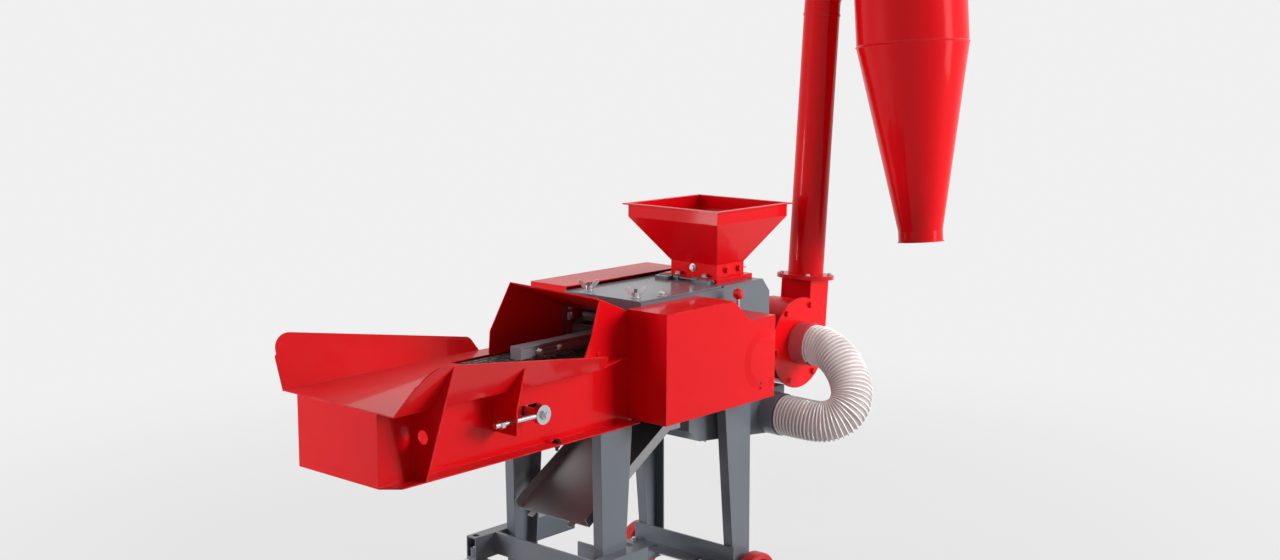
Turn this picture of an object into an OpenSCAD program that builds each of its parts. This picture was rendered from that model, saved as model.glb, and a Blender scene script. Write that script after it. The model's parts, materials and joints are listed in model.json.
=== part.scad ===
// Powered chaff cutter with a belt feed trough, a grain hopper, a suction fan and a cyclone.
// Millimetres. X runs along the feed from the trough to the fan, Y across it, Z up from the floor.
// Places along X are given from the front face of the near belt guard, and across from the trough's middle.

/* [Feed trough] */
// Length of the trough from its front face to the belt guard
trough_len = 700; // [650:5:760]
// Outside width of the trough box
trough_w = 239; // [236:1:246]
// Height of the trough's underside above the floor
trough_bottom = 509; // [480:1:540]
// Height from the trough's underside to the top of the tray
trough_depth = 146; // [142:1:152]
// Thickness of the red sheet metal
sheet = 2.5; // [2:0.1:3]
// Width of the tray between the folds of its wings
tray_w = 330; // [310:2:350]
// Height of a wing along its slope at the front
wing_h = 122; // [90:2:140]
// Height of a wing along its slope at the rear
wing_rear_h = 40; // [25:1:60]
// Outward lean of the wings from upright
wing_lean = 37; // [25:1:45]

/* [Conveyor] */
// Radius of the two belt rollers
roller_r = 59; // [54:0.5:60]
// Distance from the guard's front face back to the tail roller
tail_x = 315; // [305:1:330]
// Distance from the guard's front face on to the drive roller
drive_x = 100; // [90:1:110]
// Thickness of the conveyor belt
belt_t = 4; // [3:0.5:5]
// Width of the conveyor belt
belt_w = 206; // [190:2:210]
// Travel of the belt tensioner
tension_travel = 20; // [10:1:24]

/* [Cutting chamber] */
// Outside width of the chamber across its side plates
chamber_w = 234; // [226:1:236]
// Thickness of the side plates
plate_t = 4; // [3:0.5:5]
// Height of the chamber's top above the floor
chamber_top = 767; // [762:1:772]
// Distance of the chamber's rear wall from the guard's front face
chamber_rear = 515; // [505:1:525]
// Distance of the rotor shaft from the guard's front face
rotor_x = 346; // [340:1:350]
// Height of the rotor shaft above the floor
rotor_z = 607; // [604:1:610]
// Radius at the tips of the knives
rotor_r = 138; // [130:1:140]
// Radius of the rotor shaft
rotor_shaft_r = 20; // [16:0.5:24]
// Number of rows of hammers round the rotor
hammer_rows = 4; // [3:1:5]
// Distance from the hopper's flange forward to the hinge of the top cover
cover_gap = 12; // [10:1:16]

/* [Guards] */
// Length of the near belt guard
guard_len = 390; // [384:1:400]
// Depth of the near belt guard across the machine
guard_depth = 110; // [104:1:120]
// Depth of the far belt guard across the machine
far_guard_depth = 114; // [110:1:124]
// Reach of the far belt guard beyond the fan shaft
far_guard_reach = 77; // [72:1:90]

/* [Grain hopper] */
// Side of the square hopper rim
hopper_w = 290; // [250:2:300]
// Width of the hopper's neck across the feed
neck_w = 140; // [120:2:150]
// Length of the hopper's neck along the feed
neck_len = 104; // [90:2:110]
// Height of the hopper above the chamber's top
hopper_h = 179; // [160:1:200]
// Distance of the hopper's middle from the guard's front face
hopper_x = 421; // [419:1:423]

/* [Suction fan] */
// Distance of the fan shaft from the guard's front face
fan_x = 665; // [660:1:672]
// Height of the fan shaft above the floor
fan_z = 583; // [578:1:590]
// Outside radius of the fan drum
fan_r = 108; // [100:1:110]
// Depth of the fan drum across the machine
fan_depth = 90; // [84:1:94]
// Distance of the fan's inlet face from the trough's middle
fan_face = 100; // [96:1:104]
// Radius of the fan shaft
fan_shaft_r = 12.5; // [10:0.5:15]
// Number of impeller blades
fan_blades = 6; // [4:1:8]
// Lean of the fan outlet and the riser towards the rear
riser_lean = 4.2; // [0:0.1:5]

/* [Riser and cyclone] */
// Outside radius of the riser pipe
pipe_r = 45; // [40:0.5:48]
// Length of the riser pipe
riser_len = 680; // [600:5:720]
// Bend radius of the elbow
elbow_r = 66; // [60:1:72]
// Outside radius of the cyclone's drum
cyclone_r = 138; // [130:1:150]
// Height of the cyclone's drum
drum_h = 230; // [200:2:260]
// Height of the cyclone's cone
cone_h = 458; // [400:2:500]
// Outside radius of the cyclone's lower outlet
cyclone_outlet_r = 55; // [50:1:65]
// Lean of the cyclone's top away from the near side
cyclone_lean = 5.9; // [0:0.1:6]
// Lean of the cyclone's top towards the rear
cyclone_tilt = 1.8; // [0:0.1:3]

/* [Hose] */
// Outside radius of the hose over its ribs
hose_r = 51; // [49:0.5:53]
// Radius of the bore
hose_bore_r = 45; // [43:0.5:46]
// Number of ribs
hose_ribs = 48; // [30:1:60]

/* [Frame and wheels] */
// Half the distance between the outer faces of the legs
leg_y = 147; // [142:1:154]
// Thickness of the leg channels
leg_t = 4; // [3:0.5:5]
// Height of the base rails' top above the floor
base_z = 97; // [90:1:104]
// Diameter of the wheels
wheel_d = 125; // [110:1:130]
// Diameter of the caster wheels
caster_d = 100; // [90:1:104]
// Width of the wheels
wheel_w = 36; // [28:1:40]
// Height of the front outrigger's top above the floor
outrigger_z = 235; // [230:1:250]
// Spacing of the motor slots along the machine
motor_a = 160; // [140:1:170]
// Spacing of the motor slots across the machine
motor_b = 140; // [100:1:150]

/* [Hidden] */
$fn = 64;

// Shared clearances
run_gap = 0.05;
free_gap = 0.3;
loose_gap = 1.5;
loop_dip = 0.05;
red = [0.78, 0.06, 0.04];
slate = [0.27, 0.30, 0.34];
zinc = [0.72, 0.73, 0.74];
black = [0.06, 0.06, 0.07];
steel = [0.55, 0.56, 0.58];
milky = [0.86, 0.80, 0.78];

// Feed
tray_z = trough_bottom + trough_depth;
trough_y = trough_w / 2;
fold_y = tray_w / 2;
plate_y = chamber_w / 2;
inner_y = plate_y - plate_t;
belt_r = roller_r + free_gap + belt_t;
conveyor_z = tray_z - sheet - free_gap - belt_r;
tray_end = tail_x - 7;
ledge_end = 130;
wing_end_near = 136;
wing_end_far = 182;
tail_shaft_r = 10;
drive_shaft_r = 12.5;
roller_y = inner_y - 9;
tube_t = 6;
rib_t = 4;
trough_flange = 34;
flange_cut = 30;
slot_end = 12;
rib_front_x = 611;
rib_hole_r = 14;
rib_drop = 59;
rib_rear_h = 65;
bracket_at = 85;
bracket_up = 26;
bracket_down = 26;
bracket_over = 10;
rib_rear_x = tail_x + bracket_at;
rod_r = 6;
rod_len = 130;
nut_at = 117;
nut_h = 9;
nut_r = 10;
eye_r = 20;
eye_w = 14;
eye_out = 38;
eye_y = trough_y + eye_out;
wing_foot = [-fold_y + 1.5, tray_z - sheet + 0.5];
wing_front_r = 46;
wing_rear_r = 16;
wing_back = 24;
chute_front = 114;
chute_low = 292;
chute_rear = 172;
chute_high = 466;
hood_fall = 0.41;
hood_rise = 98;
knee_rise = 50;
hood_low = tray_z + hood_rise;
hood_far = [126, 188, 192];
hood_near = [89, 116, 142];
hood_knee = tray_z + knee_rise;

// Chamber
plate_front = -100;
chamber_r = rotor_r + 8;
screen_t = 3;
sump_t = 3;
chamber_bottom = trough_bottom;
corner_h = 34;
corner_l = 28;
sill_h = 32;
cover_x0 = 43;
flange_over = 17;
hinge_x = hopper_x - neck_len / 2 - flange_over - cover_gap;
hinge_up = 5.5;
hinge_z = chamber_top + hinge_up;
hinge_pin_r = 2.5;
knuckle_r = 5;
cover_t = 4;
deck_x0 = hinge_x - 4;
cover_x1 = deck_x0 - 1;
cover_y = inner_y;
stud_x = 78;
stud_ys = [-71, 71];
stud_r = 4;
stud_top = chamber_top + 20;
nut_turn = -52;
shear_x = drive_x + belt_r + 2;
sump_x0 = 228;
sump_x1 = 602;
sump_z0 = 407;
sump_y = 104;
sump_rear_top = 487;
outlet_x = 545;
outlet_z = 427;
outlet_len = 41;
neck_r = hose_r + 1;
sump_tail = outlet_z - neck_r - 6;
spigot_r = 42.5;
spigot_len = 12;

gate_z = chamber_top + 22;
gate_t = 3;
flange_h = 10;
hopper_t = 2;
hopper_lip = 10;
rim_h = 32;
neck_h = 40;

// Guards
guard_top = trough_bottom + 248;
guard_low_top = guard_top - 51;
guard_bottom = trough_bottom + 5;
guard_y = plate_y + guard_depth;
far_guard_y = plate_y + far_guard_depth;
far_guard_x0 = 52;
far_guard_x1 = fan_x + far_guard_reach;
far_guard_bottom = guard_bottom;
far_guard_low = fan_z + 74;
far_guard_top = chamber_top + 8;
lever_x = 342;
lever_y = plate_y + 38;
lever_pivot_z = guard_low_top - 48;
lever_pin_r = 5;
lever_r = 4;
knob_r = 13;
guard_flat = 234;
guard_slope = 60;
guard_ring_r = 78;
guard_ring_h = 3;
guard_ring_slope = 26;
lever_slot_w = 10;
lever_slot_l = 44;
lever_lug = 10;
belt_slot = 140;

// Drives
bearing_w = 32;
bearing_r = 36;
rotor_near_end = guard_y - 16;
rotor_far_end = far_guard_y - 14;
chain_y = plate_y + bearing_w + 31;
chain_w = 10;
chain_t = 7;
sprocket_r = 30;
feed_sprocket_r = 52;
fan_belt_y = plate_y + bearing_w + 18;
fan_belt_w = 12;
fan_belt_t = 8;
rotor_pulley_r = 62;
motor_pulley_r = 85;
motor_pulley_w = 26;
fan_pulley_r = 36;
fan_shaft_end = fan_belt_y + 18;
disc_ys = [-96, -32, 32, 96];
disc_t = 8;
disc_r = 88;
pin_at = 74;
pin_r = 6;
knife_t = 7;
press_pivot = [185, tray_z + 72];
press_pivot_r = 9;
press_front = 225;
press_beam_w = 32;
press_sheet = 3;
press_t = 6;
press_axle_r = 8;
press_roller_c = [118, tray_z + 47];
press_roller_r = 38;
press_y = inner_y - 10;

// Fan and riser, measured in the fan's own turned frame from its shaft
fan_back = fan_face - fan_depth;
fan_mid = fan_face - fan_depth / 2;
duct_w = 78;
duct_x = fan_r - duct_w / 2 + 8;
duct_top = 155;
flange_r = 72;
flange_t = 5;
riser_start = duct_top + 2 * flange_t;
riser_end = riser_start + riser_len;
pipe_t = 2;
bead_drop = 30;
elbow_turn = 90 - cyclone_lean;
inlet_run = 158;
inlet_inset = 14;
inlet_end = 18;
fan_neck_len = 45;
cover_bolt_r = 100;
cover_bolts = 6;
cover_bolt_turn = 5.5;

// Cyclone, leaned about the middle of its inlet
riser_top_x = fan_x + duct_x * cos(riser_lean) + riser_end * sin(riser_lean);
riser_top_z = fan_z + riser_end * cos(riser_lean) - duct_x * sin(riser_lean);
inlet_x = riser_top_x + elbow_r * sin(riser_lean) * sin(elbow_turn);
inlet_z = riser_top_z + elbow_r * cos(riser_lean) * sin(elbow_turn);
inlet_y = -fan_mid - elbow_r * (1 - cos(elbow_turn));
cyclone_x = inlet_x + cyclone_r - pipe_r - inlet_inset;
cyclone_y = inlet_y - inlet_run + inlet_end;
inlet_drop = 64;
cyclone_t = 2.5;
cyclone_lip = 3;
outlet_collar = 24;
inlet_gap = 0.8;
exhaust_in = 110;
exhaust_out = 20;

// Hose route: two straight ends joined by a half turn between the outlet and the fan's inlet
hose_low = [outlet_x, -sump_y - outlet_len, outlet_z];
hose_high = [fan_x, -fan_face - fan_neck_len, fan_z];
hose_turn_y = min(hose_low[1], hose_high[1]) - spigot_len;
hose_bend_depth = 138;
hose_sag = 40;
hose_span = [hose_high[0] - hose_low[0], 0, hose_high[2] - hose_low[2]];
hose_bend_r = norm(hose_span) / 2;
hose_even = (hose_bend_depth - hose_bend_r) / (hose_bend_depth + hose_bend_r);
hose_sides = 16;
rib_h = 3;

// Frame
leg_flange = 26;
leg_top = trough_bottom - 4;
front_leg = [[-120, -20], [-110, -48]];
rear_leg = [[307, 405], [348, 410]];
rail_w = 30;
rail_h = 50;
rail_t = 3;
rail_x0 = -100;
rail_x1 = 432;
angle_leg = 45;
angle_flange = 50;
angle_t = 5;
rear_angle_x = 342;
motor_slot_x = rear_angle_x - angle_flange / 2 - 2;
motor_slot_r = 6;
motor_slot_len = 30;
axle_x = 387;
axle_r = 10;
axle_z = wheel_d / 2;
wheel_y = leg_y + wheel_w / 2 + 17;
outrigger_front = -210;
outrigger_h = 54;
caster_x = -195;
caster_axle_r = 6;
caster_y = leg_y + rail_w / 2;
caster_trail = 30;
caster_z = caster_d / 2;
caster_plate = outrigger_z - outrigger_h;
stem_r = 8;

// The machine's box decides where the shared origin stands
box_x = (-trough_len + cyclone_x + cyclone_r + cyclone_lip) / 2;
wing_out = fold_y + wing_h * sin(wing_lean);
box_y = (max(far_guard_y, wing_out) + cyclone_y - (cyclone_r + cyclone_lip) * cos(cyclone_lean)
  - (drum_h - inlet_drop) * sin(cyclone_lean)) / 2;

// Least distance between parts of the hose that are not neighbours along it
hose_self_gap = 2 * hose_bend_r - 2 * hose_r;
echo(hose_least_self_gap_mm = hose_self_gap);

// Shared placing and shaping helpers
module place() translate([-box_x, -box_y, 0]) children();
module block(lo, hi) translate(lo) cube(hi - lo);
module xz(y0, y1) translate([0, y1, 0]) rotate([90, 0, 0]) linear_extrude(y1 - y0) children();
module yz(x0, x1) translate([x0, 0, 0]) rotate([90, 0, 90]) linear_extrude(x1 - x0) children();
module rod_y(x, z, r, y0, y1) translate([x, y1, z]) rotate([90, 0, 0]) cylinder(r = r, h = y1 - y0);
module rod_x(y, z, r, x0, x1) translate([x0, y, z]) rotate([0, 90, 0]) cylinder(r = r, h = x1 - x0);
module turned_y(x, z, y0) translate([x, y0, z]) rotate([-90, 0, 0]) rotate_extrude() children();
module far_side(far) mirror([0, far ? 1 : 0, 0]) children();
module fan_frame() translate([fan_x, 0, fan_z]) rotate([0, riser_lean, 0]) children();
module cyclone_frame() translate([cyclone_x, cyclone_y, inlet_z])
  rotate([-cyclone_lean, cyclone_tilt, 0]) children();

// Outline round two pulleys: two discs and the quadrilateral between their outer tangent points
module loop_2d(p, q, rp, rq) {
  d = q - p;
  away = atan2(d[1], d[0]);
  open = acos((rp - rq) / norm(d));
  up = [cos(away + open), sin(away + open)];
  down = [cos(away - open), sin(away - open)];
  translate(p) circle(rp);
  translate(q) circle(rq);
  polygon([p + (rp - loop_dip) * up, p + (rp - loop_dip) * down,
    q + (rq - loop_dip) * down, q + (rq - loop_dip) * up]);
}
module belt_loop(p, q, rp, rq, t, y, w) xz(y - w / 2, y + w / 2) difference() {
  loop_2d(p, q, rp + t, rq + t);
  loop_2d(p, q, rp, rq);
}

// Frame

// Tapered channel with its web outside and its flanges turned inwards, closed by a plate on top
module leg(edges) {
  web = [[edges[0][0], leg_top], [edges[0][1], leg_top], [edges[1][1], base_z], [edges[1][0], base_z]];
  color(slate) {
    difference() {
      xz(-leg_y, -leg_y + leg_flange) polygon(web);
      xz(-leg_y + leg_t, -leg_y + leg_flange + 1) polygon([
        [edges[0][0] + leg_t, leg_top + 1], [edges[0][1] - leg_t, leg_top + 1],
        [edges[1][1] - leg_t, base_z - 1], [edges[1][0] + leg_t, base_z - 1]]);
    }
    block([edges[0][0], -leg_y, leg_top], [edges[0][1], -leg_y + leg_flange, trough_bottom]);
  }
}
module front_leg_near() place() leg(front_leg);
module front_leg_far() place() far_side(true) leg(front_leg);
module rear_leg_near() place() leg(rear_leg);
module rear_leg_far() place() far_side(true) leg(rear_leg);

// Low square tube that ties a front leg to a rear leg and carries the axle
module base_rail() color(slate) difference() {
  block([rail_x0, -leg_y, base_z - rail_h], [rail_x1, -leg_y + rail_w, base_z]);
  block([rail_x0 - 1, -leg_y + rail_t, base_z - rail_h + rail_t],
    [rail_x1 + 1, -leg_y + rail_w - rail_t, base_z - rail_t]);
  rod_y(axle_x, axle_z, axle_r + run_gap, -leg_y - 1, -leg_y + rail_w + 1);
}
module base_rail_near() place() base_rail();
module base_rail_far() place() far_side(true) base_rail();

// Angle across the base rails with one row of motor slots
module cross_angle(x, turn) color(slate) difference() {
  union() {
    block([x - (turn ? 0 : angle_t), -leg_y - 8, base_z],
      [x + (turn ? angle_t : 0), leg_y + 8, base_z + angle_leg]);
    block([x - (turn ? 0 : angle_flange), -leg_y - 8, base_z],
      [x + (turn ? angle_flange : 0), leg_y + 8, base_z + angle_t]);
  }
  for (y = [-motor_b / 2, motor_b / 2]) {
    slot_x = turn ? motor_slot_x - motor_a : motor_slot_x;
    for (s = [-1, 1]) translate([slot_x + s * (motor_slot_len / 2 - motor_slot_r), y, base_z - 1])
      cylinder(r = motor_slot_r, h = angle_t + 2);
    block([slot_x - motor_slot_len / 2 + motor_slot_r, y - motor_slot_r, base_z - 1],
      [slot_x + motor_slot_len / 2 - motor_slot_r, y + motor_slot_r, base_z + angle_t + 1]);
  }
}
module cross_angle_front() place() cross_angle(motor_slot_x - motor_a - angle_flange / 2 - 2, true);
module cross_angle_rear() place() cross_angle(rear_angle_x, false);

// Welded outrigger: a tube on each side of the front legs and a plate across their front ends
module front_outrigger() place() color(slate) {
  for (far = [false, true]) far_side(far) {
    difference() {
      block([outrigger_front, -leg_y - rail_w, caster_plate], [far ? 110 : 0, -leg_y, outrigger_z]);
      block([outrigger_front - 1, -leg_y - rail_w + rail_t, caster_plate + rail_t + 5],
        [111, -leg_y - rail_t, outrigger_z - rail_t]);
      translate([caster_x, -caster_y, caster_plate - 1]) cylinder(r = stem_r + run_gap, h = outrigger_h + 2);
    }
    difference() {
      translate([caster_x, -caster_y, caster_plate + rail_t]) cylinder(r = stem_r + 5, h = 25);
      translate([caster_x, -caster_y, caster_plate - 1]) cylinder(r = stem_r + run_gap, h = outrigger_h + 2);
    }
  }
  block([outrigger_front + 60, -leg_y, caster_plate + 4], [outrigger_front + 66, leg_y, outrigger_z]);
}

module rear_axle() place() color(zinc) {
  rod_y(axle_x, axle_z, axle_r, -wheel_y - wheel_w / 2 - 8, wheel_y + wheel_w / 2 + 8);
  for (far = [false, true]) far_side(far) {
    rod_y(axle_x, axle_z, axle_r + 5, -wheel_y + wheel_w / 2 + 0.5, -leg_y - 0.3);
    rod_y(axle_x, axle_z, axle_r + 5, -wheel_y - wheel_w / 2 - 6, -wheel_y - wheel_w / 2 - 0.5);
  }
}

// Tread, drilled web and hub of a wheel, turned about its axle
module wheel(x, y, d, bore) color(red) {
  r = d / 2;
  hub = bore + 9;
  tyre = r - 14;
  edge = 4;
  crown = 5;
  turned_y(x, r, y - wheel_w / 2) {
    polygon([[tyre, 2], [r - edge, 0], [r, crown], [r, wheel_w - crown], [r - edge, wheel_w],
      [tyre, wheel_w - 2]]);
    translate([bore + run_gap, 0]) square([hub - bore, wheel_w]);
  }
  difference() {
    turned_y(x, r, y - 3) translate([hub - 1, 0]) square([tyre + 2 - hub, 6]);
    for (a = [0 : 60 : 359]) translate([x, y, r]) rotate([0, a, 0])
      rod_y((tyre + hub) / 2, 0, (tyre - hub) / 2 - 3, -wheel_w, wheel_w);
  }
}
module rear_wheel_near() place() wheel(axle_x, -wheel_y, wheel_d, axle_r);
module rear_wheel_far() place() wheel(axle_x, wheel_y, wheel_d, axle_r);

// Swivel fork: a plate, two cheeks, an axle pin and a stem in the outrigger
module caster_fork() color(zinc) translate([caster_x, -caster_y, 0]) {
  top = caster_plate - 2;
  cheek = wheel_w / 2 + 4;
  translate([0, 0, top - 6]) cylinder(r = 26, h = 6);
  translate([0, 0, top - 1]) cylinder(r = stem_r, h = 34);
  translate([0, 0, top]) cylinder(r = stem_r + 6, h = 2 - free_gap);
  for (y = [-cheek, cheek]) xz(y - 2, y + 2) polygon([[-24, top - 3], [24, top - 3],
    [-caster_trail + 16, caster_z], [-caster_trail + 8, caster_z - 14], [-caster_trail - 8, caster_z - 14],
    [-caster_trail - 16, caster_z]]);
  block([-24, -cheek - 2, top - 6], [24, cheek + 2, top - 2]);
  rod_y(-caster_trail, caster_z, caster_axle_r, -cheek - 6, cheek + 6);
}
module caster_fork_near() place() caster_fork();
module caster_fork_far() place() far_side(true) caster_fork();
module caster_wheel_near() place() wheel(caster_x - caster_trail, -caster_y, caster_d, caster_axle_r);
module caster_wheel_far() place() wheel(caster_x - caster_trail, caster_y, caster_d, caster_axle_r);

// Chamber

// Side plate with a chamfered rear corner, holes for the shafts and a folded foot over the legs
module chamber_plate() color(slate) {
  top = chamber_top - cover_t;
  step = chamber_bottom + sheet;
  difference() {
    xz(-plate_y, -inner_y) polygon([[plate_front, step], [0, step], [0, chamber_bottom],
      [chamber_rear, chamber_bottom], [chamber_rear, top - corner_h], [chamber_rear - corner_l, top],
      [cover_x0, top], [cover_x0, tray_z - 8], [plate_front, tray_z - 8]]);
    rod_y(rotor_x, rotor_z, rotor_shaft_r + 2, -plate_y - 1, -inner_y + 1);
    rod_y(drive_x, conveyor_z, drive_shaft_r + run_gap, -plate_y - 1, -inner_y + 1);
    rod_y(press_pivot[0], press_pivot[1], press_pivot_r + run_gap, -plate_y - 1, -inner_y + 1);
  }
  block([rear_leg[0][0] - 6, -leg_y, chamber_bottom],
    [rear_leg[0][1] + 6, -plate_y, chamber_bottom + plate_t]);
}
module chamber_near_plate() place() chamber_plate();
module chamber_far_plate() place() far_side(true) chamber_plate();

// Bent sheet between the side plates: rear wall, top deck with hinge lugs, shear bar, front sill and studs
module chamber_shell() place() color(slate) {
  deck_z = chamber_top - cover_t;
  shear_end = rotor_x - sqrt(pow(chamber_r, 2) - pow(tray_z - rotor_z, 2));
  block([chamber_rear - plate_t, -inner_y, chamber_bottom], [chamber_rear, inner_y, deck_z - corner_h]);
  difference() {
    block([deck_x0, -plate_y, deck_z], [chamber_rear - corner_l, plate_y, chamber_top]);
    translate([hopper_x, 0, 0]) slab(neck_len, neck_w, deck_z - 1, cover_t + 2);
  }
  xz(-plate_y, plate_y) polygon([[chamber_rear - corner_l, chamber_top], [chamber_rear - corner_l, deck_z],
    [chamber_rear, deck_z - corner_h], [chamber_rear, deck_z - corner_h + 6]]);
  block([shear_x, -inner_y, tray_z - 20], [shear_end, inner_y, tray_z - 8]);
  block([cover_x0, -inner_y, deck_z - sill_h], [cover_x0 + plate_t, inner_y, deck_z]);
  block([stud_x - 14, -inner_y, deck_z - 8], [stud_x + 14, inner_y, deck_z]);
  for (y = stud_ys) translate([stud_x, y, deck_z - 4]) cylinder(r = stud_r, h = stud_top - deck_z + 4);
  for (s = [-1, 1]) {
    block([hinge_x - 4, s * 28 - 8, chamber_top - 1], [hinge_x + 4, s * 28 + 8, hinge_z]);
    rod_y(hinge_x, hinge_z, knuckle_r, s * 28 - 8, s * 28 + 8);
  }
  rod_y(hinge_x, hinge_z, hinge_pin_r, -84, 84);
}

// Slotted half-round screen under the rotor, hung by two ledges on the sump's flanges
module screen() place() color(steel) {
  half = sump_y - sump_t - 0.5;
  reach = sqrt(pow(chamber_r + screen_t, 2) - pow(rotor_z - chamber_bottom, 2));
  difference() {
    xz(-half, half) intersection() {
      translate([rotor_x, rotor_z]) difference() {
        circle(chamber_r + screen_t);
        circle(chamber_r);
      }
      translate([rotor_x - chamber_r, chamber_bottom - chamber_r]) square([2 * chamber_r, chamber_r + 1]);
    }
    for (a = [-24 : 8 : 40], y = [-75 : 50 : 75]) translate([rotor_x, y, rotor_z]) rotate([0, -a, 0])
      block([-3, -18, -chamber_r - 8], [3, 18, -chamber_r + 6]);
  }
  for (far = [false, true]) far_side(far)
    block([rotor_x - reach, -inner_y + 0.5, chamber_bottom],
      [rotor_x + reach, -half + 2, chamber_bottom + screen_t]);
}

// Collecting box under the screen with the round neck that feeds the hose
module sump() place() color(slate) {
  spout = sump_y + outlet_len;
  cut_h = 30;
  cut_l = 40;
  front = [[sump_x0, chamber_bottom], [sump_x0, sump_z0 + cut_h], [sump_x0 + cut_l, sump_z0],
    [sump_x1, sump_tail], [sump_x1, sump_rear_top], [chamber_rear, sump_rear_top],
    [chamber_rear, chamber_bottom]];
  inside = [[sump_x0 + sump_t, chamber_bottom + 1], [sump_x0 + sump_t, sump_z0 + cut_h + 2],
    [sump_x0 + cut_l + 1, sump_z0 + sump_t], [sump_x1 - sump_t, sump_tail + sump_t],
    [sump_x1 - sump_t, sump_rear_top - sump_t], [chamber_rear - sump_t, sump_rear_top - sump_t],
    [chamber_rear - sump_t, chamber_bottom + 1]];
  difference() {
    union() {
      xz(-sump_y, sump_y) polygon(front);
      rod_y(outlet_x, outlet_z, neck_r, -spout, -sump_y + 10);
      rod_y(outlet_x, outlet_z, spigot_r, -spout - spigot_len, -sump_y);
      for (far = [false, true]) far_side(far)
        block([sump_x0, -inner_y, chamber_bottom - sump_t], [chamber_rear, -sump_y + 1, chamber_bottom]);
    }
    xz(-sump_y + sump_t, sump_y - sump_t) polygon(inside);
    rod_y(outlet_x, outlet_z, spigot_r - sump_t, -spout - spigot_len - 1, -sump_y + sump_t + 1);
  }
}

// Feed

// Point just outside the wing's outer face, at a height along its slope
function wing_face(h) = wing_foot + h * [-sin(wing_lean), cos(wing_lean)]
  - (sheet + free_gap) * [cos(wing_lean), sin(wing_lean)];
// Height of the near wing along its slope, at a distance ahead of the guard
function wing_top(d) = let (rear = wing_end_near + wing_rear_r)
  wing_rear_h + (wing_h - wing_rear_h) * (d - rear) / (trough_len - wing_back - wing_front_r - rear);

// Gusset ahead, from the trough's flange up to the top of the wing, with a round hole
module front_gusset() yz(-rib_front_x - rib_t / 2, -rib_front_x + rib_t / 2) difference() {
  low = trough_bottom + sheet - 0.5;
  polygon([[-trough_y + 1, low], [-trough_y - trough_flange + 1, low], wing_face(wing_top(rib_front_x) - 4),
    wing_face(0), [-trough_y + 1, tray_z - sheet - free_gap]]);
  translate([(-trough_y - fold_y) / 2 - 4, tray_z - rib_drop]) circle(rib_hole_r);
}

// Gusset behind it, which spreads below into the bracket of the tension rod
module rear_gusset() yz(-rib_rear_x - rib_t / 2, -rib_rear_x + rib_t / 2) difference() {
  out = -eye_y - eye_w - bracket_over;
  polygon([[-trough_y + 1, conveyor_z - bracket_down], [out, conveyor_z - bracket_down],
    [out, conveyor_z + bracket_up], wing_face(rib_rear_h), wing_face(0),
    [-trough_y + 1, tray_z - sheet - free_gap]]);
  translate([-eye_y - eye_w / 2, conveyor_z]) circle(rod_r + 1);
}

// Open box of bent sheet with flanges, gussets, tensioner slots and the brackets of the tension rods
module feed_trough() place() color(red) {
  top = tray_z - sheet;
  edge = trough_y + trough_flange;
  difference() {
    union() {
      block([-trough_len, -trough_y, trough_bottom], [0, trough_y, top]);
      translate([0, 0, trough_bottom]) linear_extrude(sheet) polygon([[-trough_len, -trough_y],
        [-trough_len + flange_cut, -edge], [0, -edge], [0, edge], [-trough_len + flange_cut, edge],
        [-trough_len, trough_y]]);
    }
    block([-trough_len + sheet, -trough_y + sheet, trough_bottom + sheet], [1, trough_y - sheet, top + 1]);
    for (far = [false, true]) far_side(far) {
      block([-tail_x - slot_end, -trough_y - 1, conveyor_z - tail_shaft_r - 1],
        [-tail_x + tension_travel + slot_end, -trough_y + sheet + 1, conveyor_z + tail_shaft_r + 1]);
      rod_y(-tail_x + tension_travel + slot_end, conveyor_z, tail_shaft_r + 1,
        -trough_y - 1, -trough_y + sheet + 1);
    }
  }
  for (far = [false, true]) far_side(far) {
    front_gusset();
    rear_gusset();
  }
}

// Flat floor, side ledges and two flared wings with rounded corners
module feed_tray() place() color(red) {
  difference() {
    translate([0, 0, tray_z - sheet]) linear_extrude(sheet) polygon([[-trough_len, -fold_y],
      [-ledge_end, -fold_y], [-1, -trough_y], [-1, trough_y], [-ledge_end, fold_y], [-trough_len, fold_y]]);
    block([-tray_end, -inner_y, tray_z - sheet - 1], [1, inner_y, tray_z + 1]);
  }
  for (far = [false, true]) far_side(far)
    translate([0, wing_foot[0], wing_foot[1]]) rotate([90 + wing_lean, 0, 0])
    linear_extrude(sheet) wing_2d(far ? wing_end_far : wing_end_near);
}

// Wing in its own plane: along the feed and up its slope
module wing_2d(end) {
  rear_x = -end;
  front_x = -trough_len + wing_back + wing_front_r;
  polygon([[-trough_len, 0], [-trough_len + 16, wing_h - wing_front_r], [front_x, wing_h],
    [rear_x - wing_rear_r, wing_rear_h], [rear_x, wing_rear_h - wing_rear_r], [rear_x + 6, 0]]);
  intersection() {
    translate([front_x - 2, wing_h - wing_front_r]) circle(wing_front_r);
    translate([-trough_len - 20, 0]) square([wing_front_r + wing_back + 18, wing_h]);
  }
  translate([rear_x - wing_rear_r, wing_rear_h - wing_rear_r]) circle(wing_rear_r);
}

function top_at(x) = hood_low + x * hood_fall;

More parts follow.
